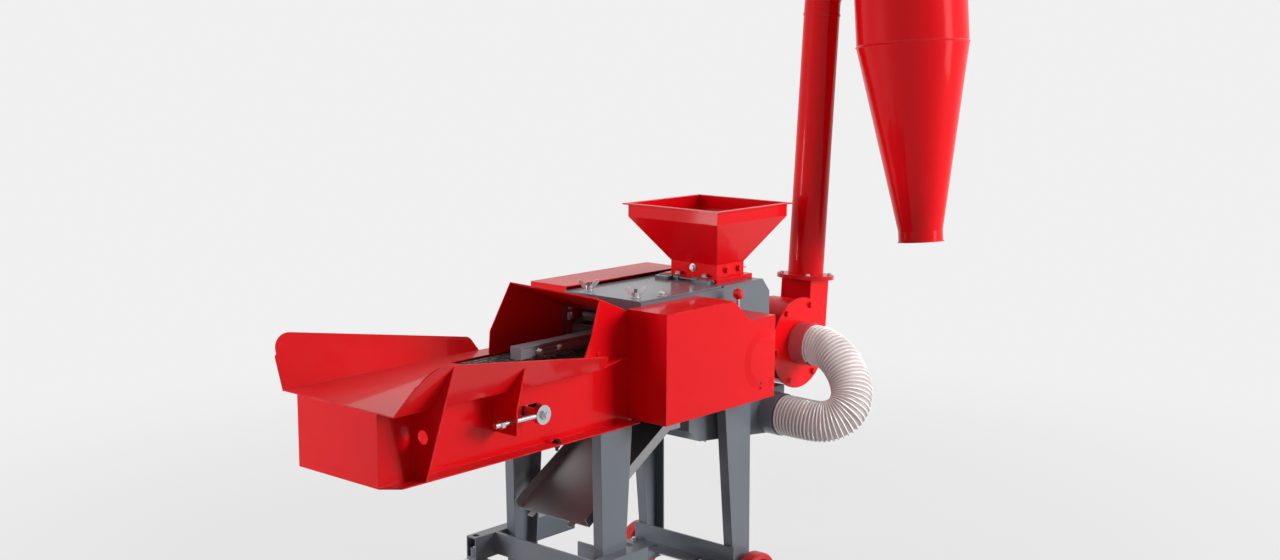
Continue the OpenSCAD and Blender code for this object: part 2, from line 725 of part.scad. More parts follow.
// Cowl over the throat: two side walls with slanted front edges and a top that falls towards the chamber
module hood() place() color(red) {
  z0 = tray_z;
  rear = cover_x0 - 0.5;
  rear_z = top_at(-rear);
  xz(plate_y - sheet, plate_y) polygon([[-hood_far[2], z0], [-hood_far[1], hood_knee],
    [-hood_far[0], top_at(hood_far[0])], [rear, rear_z], [rear, z0]]);
  xz(-plate_y, -plate_y + sheet) polygon([[-hood_near[2], z0], [-hood_near[1], hood_knee],
    [-hood_near[0], top_at(hood_near[0])], [rear, rear_z], [rear, z0]]);
  intersection() {
    xz(-plate_y, plate_y) polygon([[-hood_far[0], top_at(hood_far[0])], [rear, rear_z],
      [rear, rear_z - sheet], [-hood_far[0], top_at(hood_far[0]) - sheet]]);
    linear_extrude(2 * hood_low) polygon([[-hood_near[0], -plate_y], [rear, -plate_y], [rear, plate_y],
      [-hood_far[0], plate_y]]);
  }
}

// Sloping tray that carries the chaff away under the trough
module discharge_chute() place() color(steel) {
  low = [-chute_front, chute_low];
  high = [chute_rear, chute_high];
  run = norm(high - low);
  slope = atan2(high[1] - low[1], high[0] - low[0]);
  half = 108;
  t = 2;
  side_h = 24;
  tab_y = 60;
  tab_w = 16;
  tab_l = 14;
  hanger_t = 4;
  hanger = [high[0] - 14, high[0] + 20];
  translate([low[0], 0, low[1]]) rotate([0, -slope, 0]) {
    block([0, -half, 0], [run, half, t]);
    for (far = [false, true]) far_side(far) {
      block([0, -half, 0], [run, -half + t, side_h]);
      block([-tab_l, -tab_y - tab_w / 2, 0], [1, -tab_y + tab_w / 2, t]);
    }
  }
  for (far = [false, true]) far_side(far) {
    block([hanger[0], -half, high[1] - 11], [hanger[1], -half + hanger_t, chamber_bottom]);
    block([hanger[0], -plate_y, chamber_bottom - hanger_t], [hanger[1], -half + hanger_t, chamber_bottom]);
  }
}

// Guards

function guard_outline(t) = [[t, guard_bottom + t], [guard_len - t, guard_bottom + t],
  [guard_len - t, guard_low_top - t], [guard_flat + guard_slope, guard_low_top - t],
  [guard_flat, guard_top - t], [t, guard_top - t]];

// Near cover with a stepped top, a pressed ring on its face, and the slot and pivot of the shift lever
module near_guard() place() color(red) {
  difference() {
    xz(-guard_y, -plate_y) polygon(guard_outline(0));
    xz(-guard_y + sheet, -plate_y + 1) polygon(guard_outline(sheet));
    block([lever_x - lever_slot_w / 2, -lever_y - lever_slot_l / 2, guard_low_top - sheet - 1],
      [lever_x + lever_slot_w / 2, -lever_y + lever_slot_l / 2, guard_low_top + 1]);
  }
  intersection() {
    translate([rotor_x, -guard_y + 1, rotor_z]) rotate([90, 0, 0])
      cylinder(r1 = guard_ring_r, r2 = guard_ring_r - guard_ring_slope, h = guard_ring_h + 1);
    xz(-guard_y - guard_ring_h - 1, -guard_y + 2) polygon(guard_outline(6));
  }
  for (s = [-1, 1]) translate([lever_x + s * lever_lug, -lever_y, 0])
    block([-2, -12, lever_pivot_z - 12], [2, 12, guard_low_top - 1]);
  rod_x(-lever_y, lever_pivot_z, lever_pin_r, lever_x - lever_lug - 1, lever_x + lever_lug + 1);
}

function far_outline(t) = [[far_guard_x0 + t, far_guard_bottom + t], [far_guard_x1 - t, far_guard_bottom + t],
  [far_guard_x1 - t, far_guard_low - t], [chamber_rear + 40, far_guard_low - t],
  [chamber_rear - 50, far_guard_top - t], [far_guard_x0 + t, far_guard_top - t]];

// Far cover over the belt drive, lower where it reaches back to the fan
module far_guard() place() color(red) {
  difference() {
    xz(plate_y, far_guard_y) polygon(far_outline(0));
    xz(plate_y - 1, far_guard_y - sheet) polygon(far_outline(sheet));
    block([rotor_x - belt_slot / 2, plate_y + 20, guard_bottom - 1],
      [rotor_x + belt_slot / 2, far_guard_y - 18, guard_bottom + sheet + 1]);
  }
}

module slab(l, w, z, h) translate([-l / 2, -w / 2, z]) cube([l, w, h]);

// Grain hopper: a rim with a rolled lip, four sloping walls, a neck with a gate slot and a bolted flange
module grain_hopper() place() color(red) translate([hopper_x, 0, chamber_top]) {
  mouth_w = hopper_w - 2 * hopper_lip;
  wall_top = hopper_h - rim_h;
  slot_z = gate_z - chamber_top - free_gap;
  difference() {
    union() {
      slab(neck_len + 2 * flange_over, neck_w + 26, 0, flange_h);
      slab(neck_len, neck_w, 0, neck_h);
      hull() {
        slab(neck_len, neck_w, neck_h - 0.1, 0.1);
        slab(mouth_w, mouth_w, wall_top, 0.1);
      }
      slab(mouth_w, mouth_w, wall_top, rim_h);
      slab(hopper_w, hopper_w, hopper_h - 3, 3);
    }
    slab(neck_len - 2 * hopper_t, neck_w - 2 * hopper_t, -1, neck_h + 2);
    hull() {
      slab(neck_len - 2 * hopper_t, neck_w - 2 * hopper_t, neck_h - 0.1, 0.1);
      slab(mouth_w - 2 * hopper_t, mouth_w - 2 * hopper_t, wall_top, 0.1);
    }
    slab(mouth_w - 2 * hopper_t, mouth_w - 2 * hopper_t, wall_top, rim_h + 1);
    translate([0, -neck_w / 2 + hopper_t, slot_z])
      cube([neck_len, neck_w - 2 * hopper_t, gate_t + 2 * free_gap]);
  }
  for (far = [false, true]) far_side(far)
    block([-neck_len / 2 + 1, -neck_w / 2 + 1, slot_z - 4], [neck_len / 2 - 1, -neck_w / 2 + 9, slot_z]);
}
module hopper_gate() place() color(zinc) {
  half = neck_w / 2 - 2.5;
  x0 = hopper_x - neck_len / 2 + 2.5;
  x1 = hopper_x + neck_len / 2 + 14;
  block([x0, -half, gate_z], [x1, half, gate_z + gate_t]);
  block([x1 - gate_t, -34, gate_z], [x1, 34, gate_z + 22]);
}

// Suction fan

// Drum with its outlet duct and round flange, open on the inlet side, on a bracket behind the chamber
module fan_housing() place() color(red) {
  wall = 3;
  difference() {
    union() {
      fan_frame() {
        rod_y(0, 0, fan_r, -fan_face, -fan_back);
        block([duct_x - duct_w / 2, -fan_face, 0], [duct_x + duct_w / 2, -fan_back, duct_top]);
        translate([duct_x, -fan_mid, duct_top]) cylinder(r = flange_r, h = flange_t);
      }
      block([chamber_rear, -fan_face + 12, fan_z - 40], [fan_x, -fan_back - 12, fan_z + 30]);
    }
    fan_frame() {
      rod_y(0, 0, fan_r - wall, -fan_face - 1, -fan_back - wall);
      block([duct_x - duct_w / 2 + wall, -fan_face + wall, 30],
        [duct_x + duct_w / 2 - wall, -fan_back - wall, duct_top]);
      translate([duct_x, -fan_mid, duct_top - 1]) cylinder(r = pipe_r - pipe_t, h = flange_t + 2);
      rod_y(0, 0, fan_shaft_r + 2, -fan_back - wall - 1, -fan_back + 1);
    }
    block([chamber_rear + 4, -fan_face + 16, fan_z - 36], [fan_x - fan_r - 2, -fan_back - 8, fan_z + 26]);
  }
}

// Inlet plate with the neck for the hose
module fan_cover() place() color(red) difference() {
  union() {
    rod_y(fan_x, fan_z, fan_r + 6, -fan_face - 4, -fan_face);
    rod_y(fan_x, fan_z, neck_r, -fan_face - fan_neck_len, -fan_face);
    rod_y(fan_x, fan_z, spigot_r, -fan_face - fan_neck_len - spigot_len, -fan_face);
    for (i = [1 : cover_bolts]) translate([fan_x, -fan_face - 3.5, fan_z])
      rotate([0, -cover_bolt_turn - i * 360 / cover_bolts, 0])
      translate([cover_bolt_r, 0, 0]) rotate([90, 0, 0]) bolt_head();
  }
  rod_y(fan_x, fan_z, spigot_r - 3, -fan_face - fan_neck_len - spigot_len - 1, -fan_face + 1);
}

// Riser and cyclone

module riser_pipe() place() color(red) fan_frame()
  translate([duct_x, -fan_mid, riser_start - flange_t]) difference() {
  union() {
    cylinder(r = flange_r, h = flange_t);
    cylinder(r = pipe_r, h = riser_len + flange_t);
    translate([0, 0, riser_len + flange_t - bead_drop]) cylinder(r = pipe_r + 1.5, h = 6);
  }
  translate([0, 0, -1]) cylinder(r = pipe_r - pipe_t, h = riser_len + flange_t + 2);
}

// Bend from the riser towards the near side and the straight run that meets the cyclone's drum
module pipe_elbow() place() color(red) {
  fan_frame() translate([duct_x, -fan_mid - elbow_r, riser_end]) rotate([0, 0, 90]) rotate([90, 0, 0])
    rotate_extrude(angle = elbow_turn, $fn = 160) translate([elbow_r, 0]) difference() {
      circle(pipe_r);
      circle(pipe_r - pipe_t);
    }
  difference() {
    elbow_run(pipe_r, 0, inlet_run);
    elbow_run(pipe_r - pipe_t, -1, inlet_run + 1);
    cyclone_frame() translate([0, 0, -inlet_drop - drum_h]) cylinder(r = cyclone_r - 1, h = 3 * drum_h);
  }
}
module elbow_run(r, from, to) fan_frame()
  translate([duct_x, -fan_mid - elbow_r, riser_end]) rotate([elbow_turn, 0, 0])
    translate([0, elbow_r, from]) cylinder(r = r, h = to - from);

// Drum and cone of sheet with a seam bead, open below and at its side inlet
module cyclone_body() place() color(red) difference() {
  cone_end = -drum_h - cone_h;
  collar_end = cone_end - outlet_collar;
  cyclone_frame() translate([0, 0, inlet_drop]) rotate_extrude() polygon([
    [cyclone_r, 0], [cyclone_r, -drum_h + cyclone_lip], [cyclone_r + cyclone_lip, -drum_h],
    [cyclone_r, -drum_h - cyclone_lip], [cyclone_outlet_r, cone_end], [cyclone_outlet_r, collar_end],
    [cyclone_outlet_r + cyclone_lip, collar_end - 4], [cyclone_outlet_r - cyclone_t, collar_end - 4],
    [cyclone_outlet_r - cyclone_t, cone_end], [cyclone_r - cyclone_t, -drum_h],
    [cyclone_r - cyclone_t, 0]]);
  elbow_run(pipe_r + inlet_gap, -10, inlet_run);
}

// Flat lid with a lipped edge and the short exhaust pipe through its middle
module cyclone_lid() place() color(red) cyclone_frame() translate([0, 0, inlet_drop]) rotate_extrude() {
  bore = pipe_r - pipe_t;
  translate([bore, 0]) square([cyclone_r + cyclone_lip - bore, 3]);
  translate([bore, -exhaust_in]) square([pipe_t, exhaust_in + exhaust_out]);
}

// Hose

function hose_ends() = [hose_low[1] - hose_turn_y, hose_high[1] - hose_turn_y];
function hose_bend() = PI * (hose_bend_r + hose_bend_depth) / 2;
function hose_length() = hose_ends()[0] + hose_bend() + hose_ends()[1];
// Point of the hose's middle line at distance s from its lower end, and the two directions across it
function hose_frame(s) =
  let (first = hose_ends()[0], side = hose_span / norm(hose_span), flat = [side[2], 0, -side[0]])
  s < first ? [hose_low + [0, -s, 0], side, flat]
  : s > first + hose_bend() ?
    [[hose_high[0], hose_turn_y + s - first - hose_bend(), hose_high[2]], -side, flat]
  : let (u = (s - first) / hose_bend(), a = 180 * (u - hose_even * sin(360 * u) / (2 * PI)),
      q = pow(sin(a), 2),
      run = [0, -hose_bend_depth * cos(a), -hose_sag * (1.5 - q) * sin(2 * a)] + side * hose_bend_r * sin(a),
      level = flat - run * (flat * run) / (run * run), across = cross(run, level))
    [[hose_low[0], hose_turn_y - hose_bend_depth * sin(a), hose_low[2] - hose_sag * q * (1.5 - q / 2)]
      + side * hose_bend_r * (1 - cos(a)), across / norm(across), level / norm(level)];
function ring(s, r) = let (f = hose_frame(s)) [for (k = [0 : hose_sides - 1])
  let (a = 360 * k / hose_sides) f[0] + r * (cos(a) * f[1] + sin(a) * f[2])];

// One tube swept along the route: ribs outside, smooth bore inside
module suction_hose() place() color(milky) {
  pitch = hose_length() / hose_ribs;
  outer = [for (i = [0 : 2 * hose_ribs]) [i * pitch / 2, i % 2 == 0 ? hose_r - rib_h : hose_r]];
  inner = [for (i = [hose_ribs : -1 : 0]) [i * pitch, hose_bore_r]];
  stations = concat(outer, inner);
  n = len(stations);
  points = [for (st = stations) each ring(st[0], st[1])];
  faces = [for (i = [0 : n - 1], k = [0 : hose_sides - 1], half = [0, 1])
    let (j = (i + 1) % n, m = (k + 1) % hose_sides,
      a = i * hose_sides + k, b = i * hose_sides + m, c = j * hose_sides + m, d = j * hose_sides + k)
    half == 0 ? [a, b, c] : [a, c, d]];
  polyhedron(points, faces);
}

// Drives

// Flanged bearing with a hub, two upright bolt ears and a running bore
module flange_bearing(x, z, r, y0, y1) difference() {
  foot = y0 + sign(y1 - y0) * 12;
  union() {
    rod_y(x, z, bearing_r, min(y0, y1), max(y0, y1));
    block([x - 26, min(y0, foot), z - 58], [x + 26, max(y0, foot), z + 58]);
  }
  rod_y(x, z, r + run_gap, min(y0, y1) - 1, max(y0, y1) + 1);
}
module rotor_bearings() place() color(slate) {
  flange_bearing(rotor_x, rotor_z, rotor_shaft_r, -plate_y, -plate_y - bearing_w);
  flange_bearing(rotor_x, rotor_z, rotor_shaft_r, plate_y, plate_y + bearing_w);
}
// Bearing tube of the fan shaft on a stay from the chamber's rear wall
module fan_bearings() place() color(slate) {
  y0 = -fan_back;
  y1 = plate_y - 10;
  difference() {
    union() {
      rod_y(fan_x, fan_z, 30, y0, y1);
      rod_y(fan_x, fan_z, 50, y0, y0 + 8);
      block([chamber_rear, 20, fan_z - 22], [fan_x - 24, 90, fan_z + 22]);
      block([chamber_rear, 8, fan_z - 50], [chamber_rear + 6, 104, fan_z + 50]);
    }
    rod_y(fan_x, fan_z, fan_shaft_r + run_gap, y0 - 1, y1 + 1);
  }
}

module rotor_shaft() place() color(zinc) {
  rod_y(rotor_x, rotor_z, rotor_shaft_r, -rotor_near_end, rotor_far_end);
  for (y = [-chain_y - chain_w / 2 - 6.5, -chain_y + chain_w / 2 + 0.5])
    rod_y(rotor_x, rotor_z, rotor_shaft_r + 6, y, y + 6);
}
module rotor_discs() place() color(steel) for (y = disc_ys) difference() {
  union() {
    rod_y(rotor_x, rotor_z, disc_r, y - disc_t / 2, y + disc_t / 2);
    rod_y(rotor_x, rotor_z, 34, y - disc_t, y + disc_t);
  }
  rod_y(rotor_x, rotor_z, rotor_shaft_r, y - 20, y + 20);
  if (y < disc_ys[3]) hammer_pins(y - 20, y + 20);
}
module hammer_pins(y0, y1) for (i = [0 : hammer_rows - 1]) translate([rotor_x, 0, rotor_z])
  rotate([0, i * 360 / hammer_rows + 30, 0]) rod_y(pin_at, 0, pin_r, y0, y1);
// Cutting knives bolted flat against the inner face of the last disc
module chopping_knives() place() color(zinc) for (a = [0 : 120 : 359])
  translate([rotor_x, disc_ys[3] - disc_t / 2, rotor_z]) rotate([0, a, 0])
    xz(-knife_t, 0) polygon([[40, -22], [rotor_r - 6, -30], [rotor_r - 2, 14], [40, 22]]);
// Hammer pins through the first three discs with flat bars between them
module hammers() place() color(steel) {
  hammer_pins(disc_ys[0] - disc_t / 2 - 4, disc_ys[2] + disc_t / 2 + 4);
  for (i = [0 : hammer_rows - 1], y = [-64, 0]) translate([rotor_x, y, rotor_z])
    rotate([0, i * 360 / hammer_rows + 30, 0]) xz(-3, 3) translate([62, -12]) square([rotor_r - 66, 24]);
}
// Half section of a grooved pulley, outwards from near its middle
module groove_2d(r) {
  rim = r + fan_belt_t;
  polygon([[1, 0], [rim, 0], [rim, 3], [r, 3.5], [r, fan_belt_w + 4.5], [rim, fan_belt_w + 5],
    [rim, fan_belt_w + 8], [1, fan_belt_w + 8]]);
}
// Two-step pulley: fan groove inside, two motor grooves outside
module rotor_pulley() place() color(steel) difference() {
  y0 = fan_belt_y - fan_belt_w / 2 - 4;
  r = motor_pulley_r;
  root = r - 10;
  union() {
    turned_y(rotor_x, rotor_z, y0) groove_2d(rotor_pulley_r);
    turned_y(rotor_x, rotor_z, y0 + fan_belt_w + 8) polygon([[1, 0], [r, 0], [r, 3], [root, 6], [root, 9],
      [r, 12], [r, 14], [root, 17], [root, 20], [r, 23], [r, motor_pulley_w], [1, motor_pulley_w]]);
  }
  rod_y(rotor_x, rotor_z, rotor_shaft_r, 0, far_guard_y);
}
// Toothed wheel outline
module sprocket_2d(r, teeth) {
  circle(r - 3);
  for (i = [0 : teeth - 1]) rotate(i * 360 / teeth) translate([r - 5, -1.6]) square([4.6, 3.2]);
}
module clutch_sprocket() place() color(steel) difference() {
  xz(-chain_y - 3, -chain_y + 3) translate([rotor_x, rotor_z]) sprocket_2d(sprocket_r, 15);
  rod_y(rotor_x, rotor_z, rotor_shaft_r + run_gap, -chain_y - chain_w, -chain_y + chain_w);
}
module feed_chain() place() color(steel) belt_loop([rotor_x, rotor_z], [drive_x, conveyor_z],
  sprocket_r + free_gap, feed_sprocket_r + free_gap, chain_t, -chain_y, chain_w);
module fan_belt() place() color(black) belt_loop([rotor_x, rotor_z], [fan_x, fan_z],
  rotor_pulley_r + free_gap, fan_pulley_r + free_gap, fan_belt_t, fan_belt_y, fan_belt_w);
module fan_shaft() place() color(zinc) {
  rod_y(fan_x, fan_z, fan_shaft_r, -fan_face + 24, fan_shaft_end);
  rod_y(fan_x, fan_z, fan_shaft_r + 6, plate_y - 10 + 0.5, plate_y - 2);
}
module impeller() place() color(steel) difference() {
  union() {
    rod_y(fan_x, fan_z, fan_r - 22, -fan_back - 14, -fan_back - 10);
    rod_y(fan_x, fan_z, 26, -fan_back - 48, -fan_back - 10);
    for (a = [0 : 360 / fan_blades : 359]) translate([fan_x, 0, fan_z]) rotate([0, a, 0])
      block([22, -fan_face + 14, -2], [fan_r - 12, -fan_back - 12, 2]);
  }
  rod_y(fan_x, fan_z, fan_shaft_r, -fan_face, 0);
}
module fan_pulley() place() color(steel) difference() {
  turned_y(fan_x, fan_z, fan_belt_y - fan_belt_w / 2 - 4) groove_2d(fan_pulley_r);
  rod_y(fan_x, fan_z, fan_shaft_r, 0, far_guard_y);
}

// Conveyor

module conveyor_belt() place() color(black) belt_loop([-tail_x, conveyor_z], [drive_x, conveyor_z],
  roller_r + free_gap, roller_r + free_gap, belt_t, 0, belt_w);
// Tube closed by two drilled discs
module belt_roller(x) {
  turned_y(x, conveyor_z, -roller_y) translate([roller_r - tube_t, 0]) square([tube_t, 2 * roller_y]);
  difference() {
    for (y = [-roller_y + tube_t, roller_y - tube_t]) rod_y(x, conveyor_z, roller_r - 1, y - 4, y + 4);
    for (a = [0 : 90 : 359]) translate([x, 0, conveyor_z]) rotate([0, a, 0])
      rod_y(roller_r * 0.6, 0, 13, -2 * roller_y, 2 * roller_y);
  }
}
module drive_roller() place() color(steel) {
  belt_roller(drive_x);
  rod_y(drive_x, conveyor_z, drive_shaft_r, -chain_y - 12, plate_y + 12);
  xz(-chain_y - 3, -chain_y + 3) translate([drive_x, conveyor_z]) sprocket_2d(feed_sprocket_r, 26);
}
module tail_roller() place() color(steel) {
  belt_roller(-tail_x);
  rod_y(-tail_x, conveyor_z, tail_shaft_r, -eye_y - eye_w - 4, eye_y + eye_w + 4);
}
// Eye bolts that carry the tail roller outside the trough, with a lock nut ahead of each bracket
module tension_slide() place() color(zinc) for (far = [false, true]) far_side(far) {
  difference() {
    union() {
      rod_y(-tail_x, conveyor_z, eye_r, -eye_y - eye_w, -eye_y);
      rod_x(-eye_y - eye_w / 2, conveyor_z, rod_r, -tail_x - rod_len, -tail_x - eye_r + 4);
      translate([-tail_x - nut_at, -eye_y - eye_w / 2, conveyor_z]) rotate([0, 90, 0])
        cylinder(r = nut_r, h = nut_h, $fn = 6);
    }
    rod_y(-tail_x, conveyor_z, tail_shaft_r + run_gap, -eye_y - eye_w - 1, -eye_y + 1);
  }
}
// Floating press over the belt: a folded beam along the feed, a tie across it, two arms and the pivot shaft
module press_frame() place() color(slate) {
  top = tray_z + 36;
  low = tray_z + 9;
  tie = press_roller_c[0] - press_roller_r - 22;
  wide = press_beam_w / 2;
  block([-press_front, -wide, top - press_sheet], [tie, wide, top]);
  block([-press_front, wide - press_sheet, low], [tie, wide, top]);
  block([-press_front, -wide + 6, low], [tie, -wide + 6 + press_sheet, top]);
  block([-press_front, -wide, low], [-press_front + press_sheet, wide, top]);
  block([tie - 1, -press_y, low + 4], [tie + 10, press_y, top]);
  for (far = [false, true]) far_side(far) difference() {
    xz(-press_y, -press_y + press_t) polygon([[tie, low + 4], [tie, top],
      [press_pivot[0] - 14, press_pivot[1] + 14], [press_pivot[0] + 14, press_pivot[1] + 14],
      [press_pivot[0] + 14, press_pivot[1] - 14], [press_roller_c[0] + 20, press_roller_c[1] - 18]]);
    rod_y(press_roller_c[0], press_roller_c[1], press_axle_r + run_gap, -press_y - 1, -press_y + press_t + 1);
  }
  rod_y(press_pivot[0], press_pivot[1], press_pivot_r, -plate_y + 0.5, plate_y - 0.5);
}
// Toothed roller that draws the fodder in
module press_roller() place() color(steel) {
  difference() {
    rod_y(press_roller_c[0], press_roller_c[1], press_roller_r, -press_y + 8, press_y - 8);
    for (a = [0 : 30 : 359]) translate([press_roller_c[0], 0, press_roller_c[1]]) rotate([0, a, 0])
      block([press_roller_r - 5, -press_y, -4], [press_roller_r + 5, press_y, 4]);
  }
  rod_y(press_roller_c[0], press_roller_c[1], press_axle_r, -press_y - 1, press_y + 1);
}

// Shift lever of the feed drive, hung on the pin inside the near guard
module shift_lever() place() color(zinc) difference() {
  union() {
    xz(-lever_y - 3, -lever_y + 3) translate([lever_x - 4, lever_pivot_z]) square([8, 40]);
    translate([lever_x, -lever_y, lever_pivot_z + 36]) cylinder(r = lever_r, h = 52);
    rod_x(-lever_y, lever_pivot_z, 9, lever_x - 6, lever_x + 6);
  }
  rod_x(-lever_y, lever_pivot_z, lever_pin_r + run_gap, lever_x - 7, lever_x + 7);
}
module lever_knob() place() color(red) difference() {
  translate([lever_x, -lever_y, guard_low_top + 46]) sphere(r = knob_r);
  translate([lever_x, -lever_y, guard_low_top]) cylinder(r = lever_r, h = 40);
}

// Lid of the chamber with hinge knuckles behind and a lip in front
module top_cover() place() color(slate) {
  z0 = chamber_top - cover_t;
  difference() {
    union() {
      block([cover_x0, -cover_y, z0], [cover_x1, cover_y, chamber_top]);
      for (s = [-1, 1]) {
        block([hinge_x - 20, s * 60 - 20, chamber_top - 1], [hinge_x - 6, s * 60 + 20, hinge_z + 2]);
        block([hinge_x - 8, s * 60 - 20, hinge_z - 2], [hinge_x - 3, s * 60 + 20, hinge_z + 2]);
        rod_y(hinge_x, hinge_z, knuckle_r - 0.5, s * 60 - 20, s * 60 + 20);
      }
    }
    rod_y(hinge_x, hinge_z, hinge_pin_r + run_gap, -200, 200);
    for (y = stud_ys) translate([stud_x, y, z0 - 1]) cylinder(r = stud_r + loose_gap, h = cover_t + 2);
  }
}
// Wing nuts with two raised ears
module wing_nuts() place() color(zinc) for (y = stud_ys)
  translate([stud_x, y, chamber_top]) rotate([0, 0, y < 0 ? nut_turn : nut_turn + 12]) difference() {
  union() {
    cylinder(r = 11, h = 2);
    cylinder(r = 8.5, h = 12);
    for (e = [0, 1]) mirror([e, 0, 0]) xz(-2, 2)
      polygon([[5, 3], [5, 12], [14, 24], [22, 26], [24, 20], [15, 8]]);
  }
  translate([0, 0, -1]) cylinder(r = stud_r + loose_gap, h = 40);
}

// Bolts seen on the outside, each a hexagon head with its washer
module bolt_head() {
  cylinder(r = 9, h = 1.5);
  translate([0, 0, 1]) cylinder(r = 7.5, h = 6, $fn = 6);
}
module frame_bolts() place() color(zinc) {
  for (sx = [-1, 1], sy = [-1, 1])
    translate([hopper_x + sx * (neck_len / 2 + 9), sy * 40, chamber_top + flange_h]) bolt_head();
  for (s = [-1, 1]) translate([rear_angle_x - 24, s * (leg_y - 8), base_z + angle_t]) bolt_head();
}

front_leg_near();
front_leg_far();
rear_leg_near();
rear_leg_far();
base_rail_near();
base_rail_far();
cross_angle_front();
cross_angle_rear();
front_outrigger();
rear_axle();
chamber_near_plate();
chamber_far_plate();
chamber_shell();
screen();
sump();
feed_trough();
feed_tray();
hood();
discharge_chute();
near_guard();
far_guard();
grain_hopper();
fan_housing();
fan_cover();
riser_pipe();
pipe_elbow();
cyclone_body();
cyclone_lid();
suction_hose();
rotor_bearings();
fan_bearings();
conveyor_belt();
fan_belt();
feed_chain();
frame_bolts();
rotor_shaft();
rotor_discs();
chopping_knives();
hammers();
rotor_pulley();
clutch_sprocket();
fan_shaft();
impeller();
fan_pulley();
drive_roller();
tension_slide();
tail_roller();
press_frame();
press_roller();
shift_lever();
lever_knob();
top_cover();
wing_nuts();
hopper_gate();
rear_wheel_near();
rear_wheel_far();
caster_fork_near();
caster_fork_far();
caster_wheel_near();
caster_wheel_far();
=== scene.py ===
import json
import math

import bmesh
import bpy
from mathutils import Matrix, Vector


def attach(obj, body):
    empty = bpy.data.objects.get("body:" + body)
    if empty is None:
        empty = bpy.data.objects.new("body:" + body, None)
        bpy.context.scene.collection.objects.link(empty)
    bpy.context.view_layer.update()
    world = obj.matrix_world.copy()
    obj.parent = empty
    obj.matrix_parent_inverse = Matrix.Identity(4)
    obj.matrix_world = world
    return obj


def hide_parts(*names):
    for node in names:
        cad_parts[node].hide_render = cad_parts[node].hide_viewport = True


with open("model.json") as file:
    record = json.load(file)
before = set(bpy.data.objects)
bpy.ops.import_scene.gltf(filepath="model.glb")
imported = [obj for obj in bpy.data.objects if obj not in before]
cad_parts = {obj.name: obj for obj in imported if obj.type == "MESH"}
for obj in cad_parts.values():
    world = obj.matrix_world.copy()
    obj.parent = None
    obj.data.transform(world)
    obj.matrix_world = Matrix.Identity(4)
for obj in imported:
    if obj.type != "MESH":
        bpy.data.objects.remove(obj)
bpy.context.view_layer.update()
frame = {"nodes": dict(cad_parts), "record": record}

scene = bpy.context.scene
scene.view_settings.view_transform = "Standard"
print("frame loaded:", len(frame["nodes"]), "nodes")


# machine millimetres, measured from the guard's front face and the trough's middle, to metres in the frame
machineOrigin = (164.244, -86.5555, 0.0)
perMetre = 1000


def onMachine(x, y, z):
    return Vector((x - machineOrigin[0], y - machineOrigin[1], z - machineOrigin[2])) / perMetre


# camera, at the photograph's place
cameraFacts = {"place": (-2.66359, -2.23703, 1.34786), "yaw": 49.005, "pitch": 8.986, "roll": 0.2261,
               "lens": 44.02, "sensor": 36.0, "nearest": 0.05, "farthest": 60.0}


def makeCamera(facts):
    lens = bpy.data.cameras.new("photoLens")
    lens.lens, lens.sensor_width, lens.sensor_fit = facts["lens"], facts["sensor"], "HORIZONTAL"
    lens.clip_start, lens.clip_end = facts["nearest"], facts["farthest"]
    camera = bpy.data.objects.new("photoCamera", lens)
    scene.collection.objects.link(camera)
    camera.location = facts["place"]
    turn = (Matrix.Rotation(-math.radians(facts["yaw"]), 3, "Z")
            @ Matrix.Rotation(math.radians(90 - facts["pitch"]), 3, "X")
            @ Matrix.Rotation(math.radians(facts["roll"]), 3, "Z"))
    camera.rotation_euler = turn.to_euler()
    scene.camera = camera


makeCamera(cameraFacts)
print("camera set")


# small builders for node trees
mixSockets = {"first": 6, "second": 7, "result": 2}    # the colour sockets of a Mix node


def newFinish(name):
    material = bpy.data.materials.new(name)
    material.use_nodes = True
    return material, material.node_tree, material.node_tree.nodes["Principled BSDF"]


def setSocket(tree, socket, value):
    # another node's output is linked, anything else is set
    if isinstance(value, bpy.types.NodeSocket):
        tree.links.new(value, socket)
    else:
        socket.default_value = value


def objectPlace(tree):
    return tree.nodes.new("ShaderNodeTexCoord").outputs["Object"]


def mathNode(tree, operation, *values, clamp=False):
    node = tree.nodes.new("ShaderNodeMath")
    node.operation, node.use_clamp = operation, clamp
    for socket, value in zip(node.inputs, values):
        setSocket(tree, socket, value)
    return node.outputs[0]


def noiseNode(tree, vector, scale, detail, rough=0.5):
    node = tree.nodes.new("ShaderNodeTexNoise")
    for label, value in (("Vector", vector), ("Scale", scale), ("Detail", detail), ("Roughness", rough)):
        setSocket(tree, node.inputs[label], value)
    return node.outputs["Fac"]


def rangeNode(tree, value, low, high, outLow=0.0, outHigh=1.0):
    node = tree.nodes.new("ShaderNodeMapRange")
    for label, amount in (("Value", value), ("From Min", low), ("From Max", high),
                          ("To Min", outLow), ("To Max", outHigh)):
        setSocket(tree, node.inputs[label], amount)
    return node.outputs["Result"]


def mixColour(tree, factor, first, second):
    mix = tree.nodes.new("ShaderNodeMix")
    mix.data_type = "RGBA"
    setSocket(tree, mix.inputs["Factor"], factor)
    setSocket(tree, mix.inputs[mixSockets["first"]], first)
    setSocket(tree, mix.inputs[mixSockets["second"]], second)
    return mix.outputs[mixSockets["result"]]


def blendShaders(tree, share, first, second, out):
    blend = tree.nodes.new("ShaderNodeMixShader")
    for socket, value in zip(blend.inputs, (share, first.outputs[0], second.outputs[0])):
        tree.links.new(value, socket)
    tree.links.new(blend.outputs[0], out.inputs["Surface"])


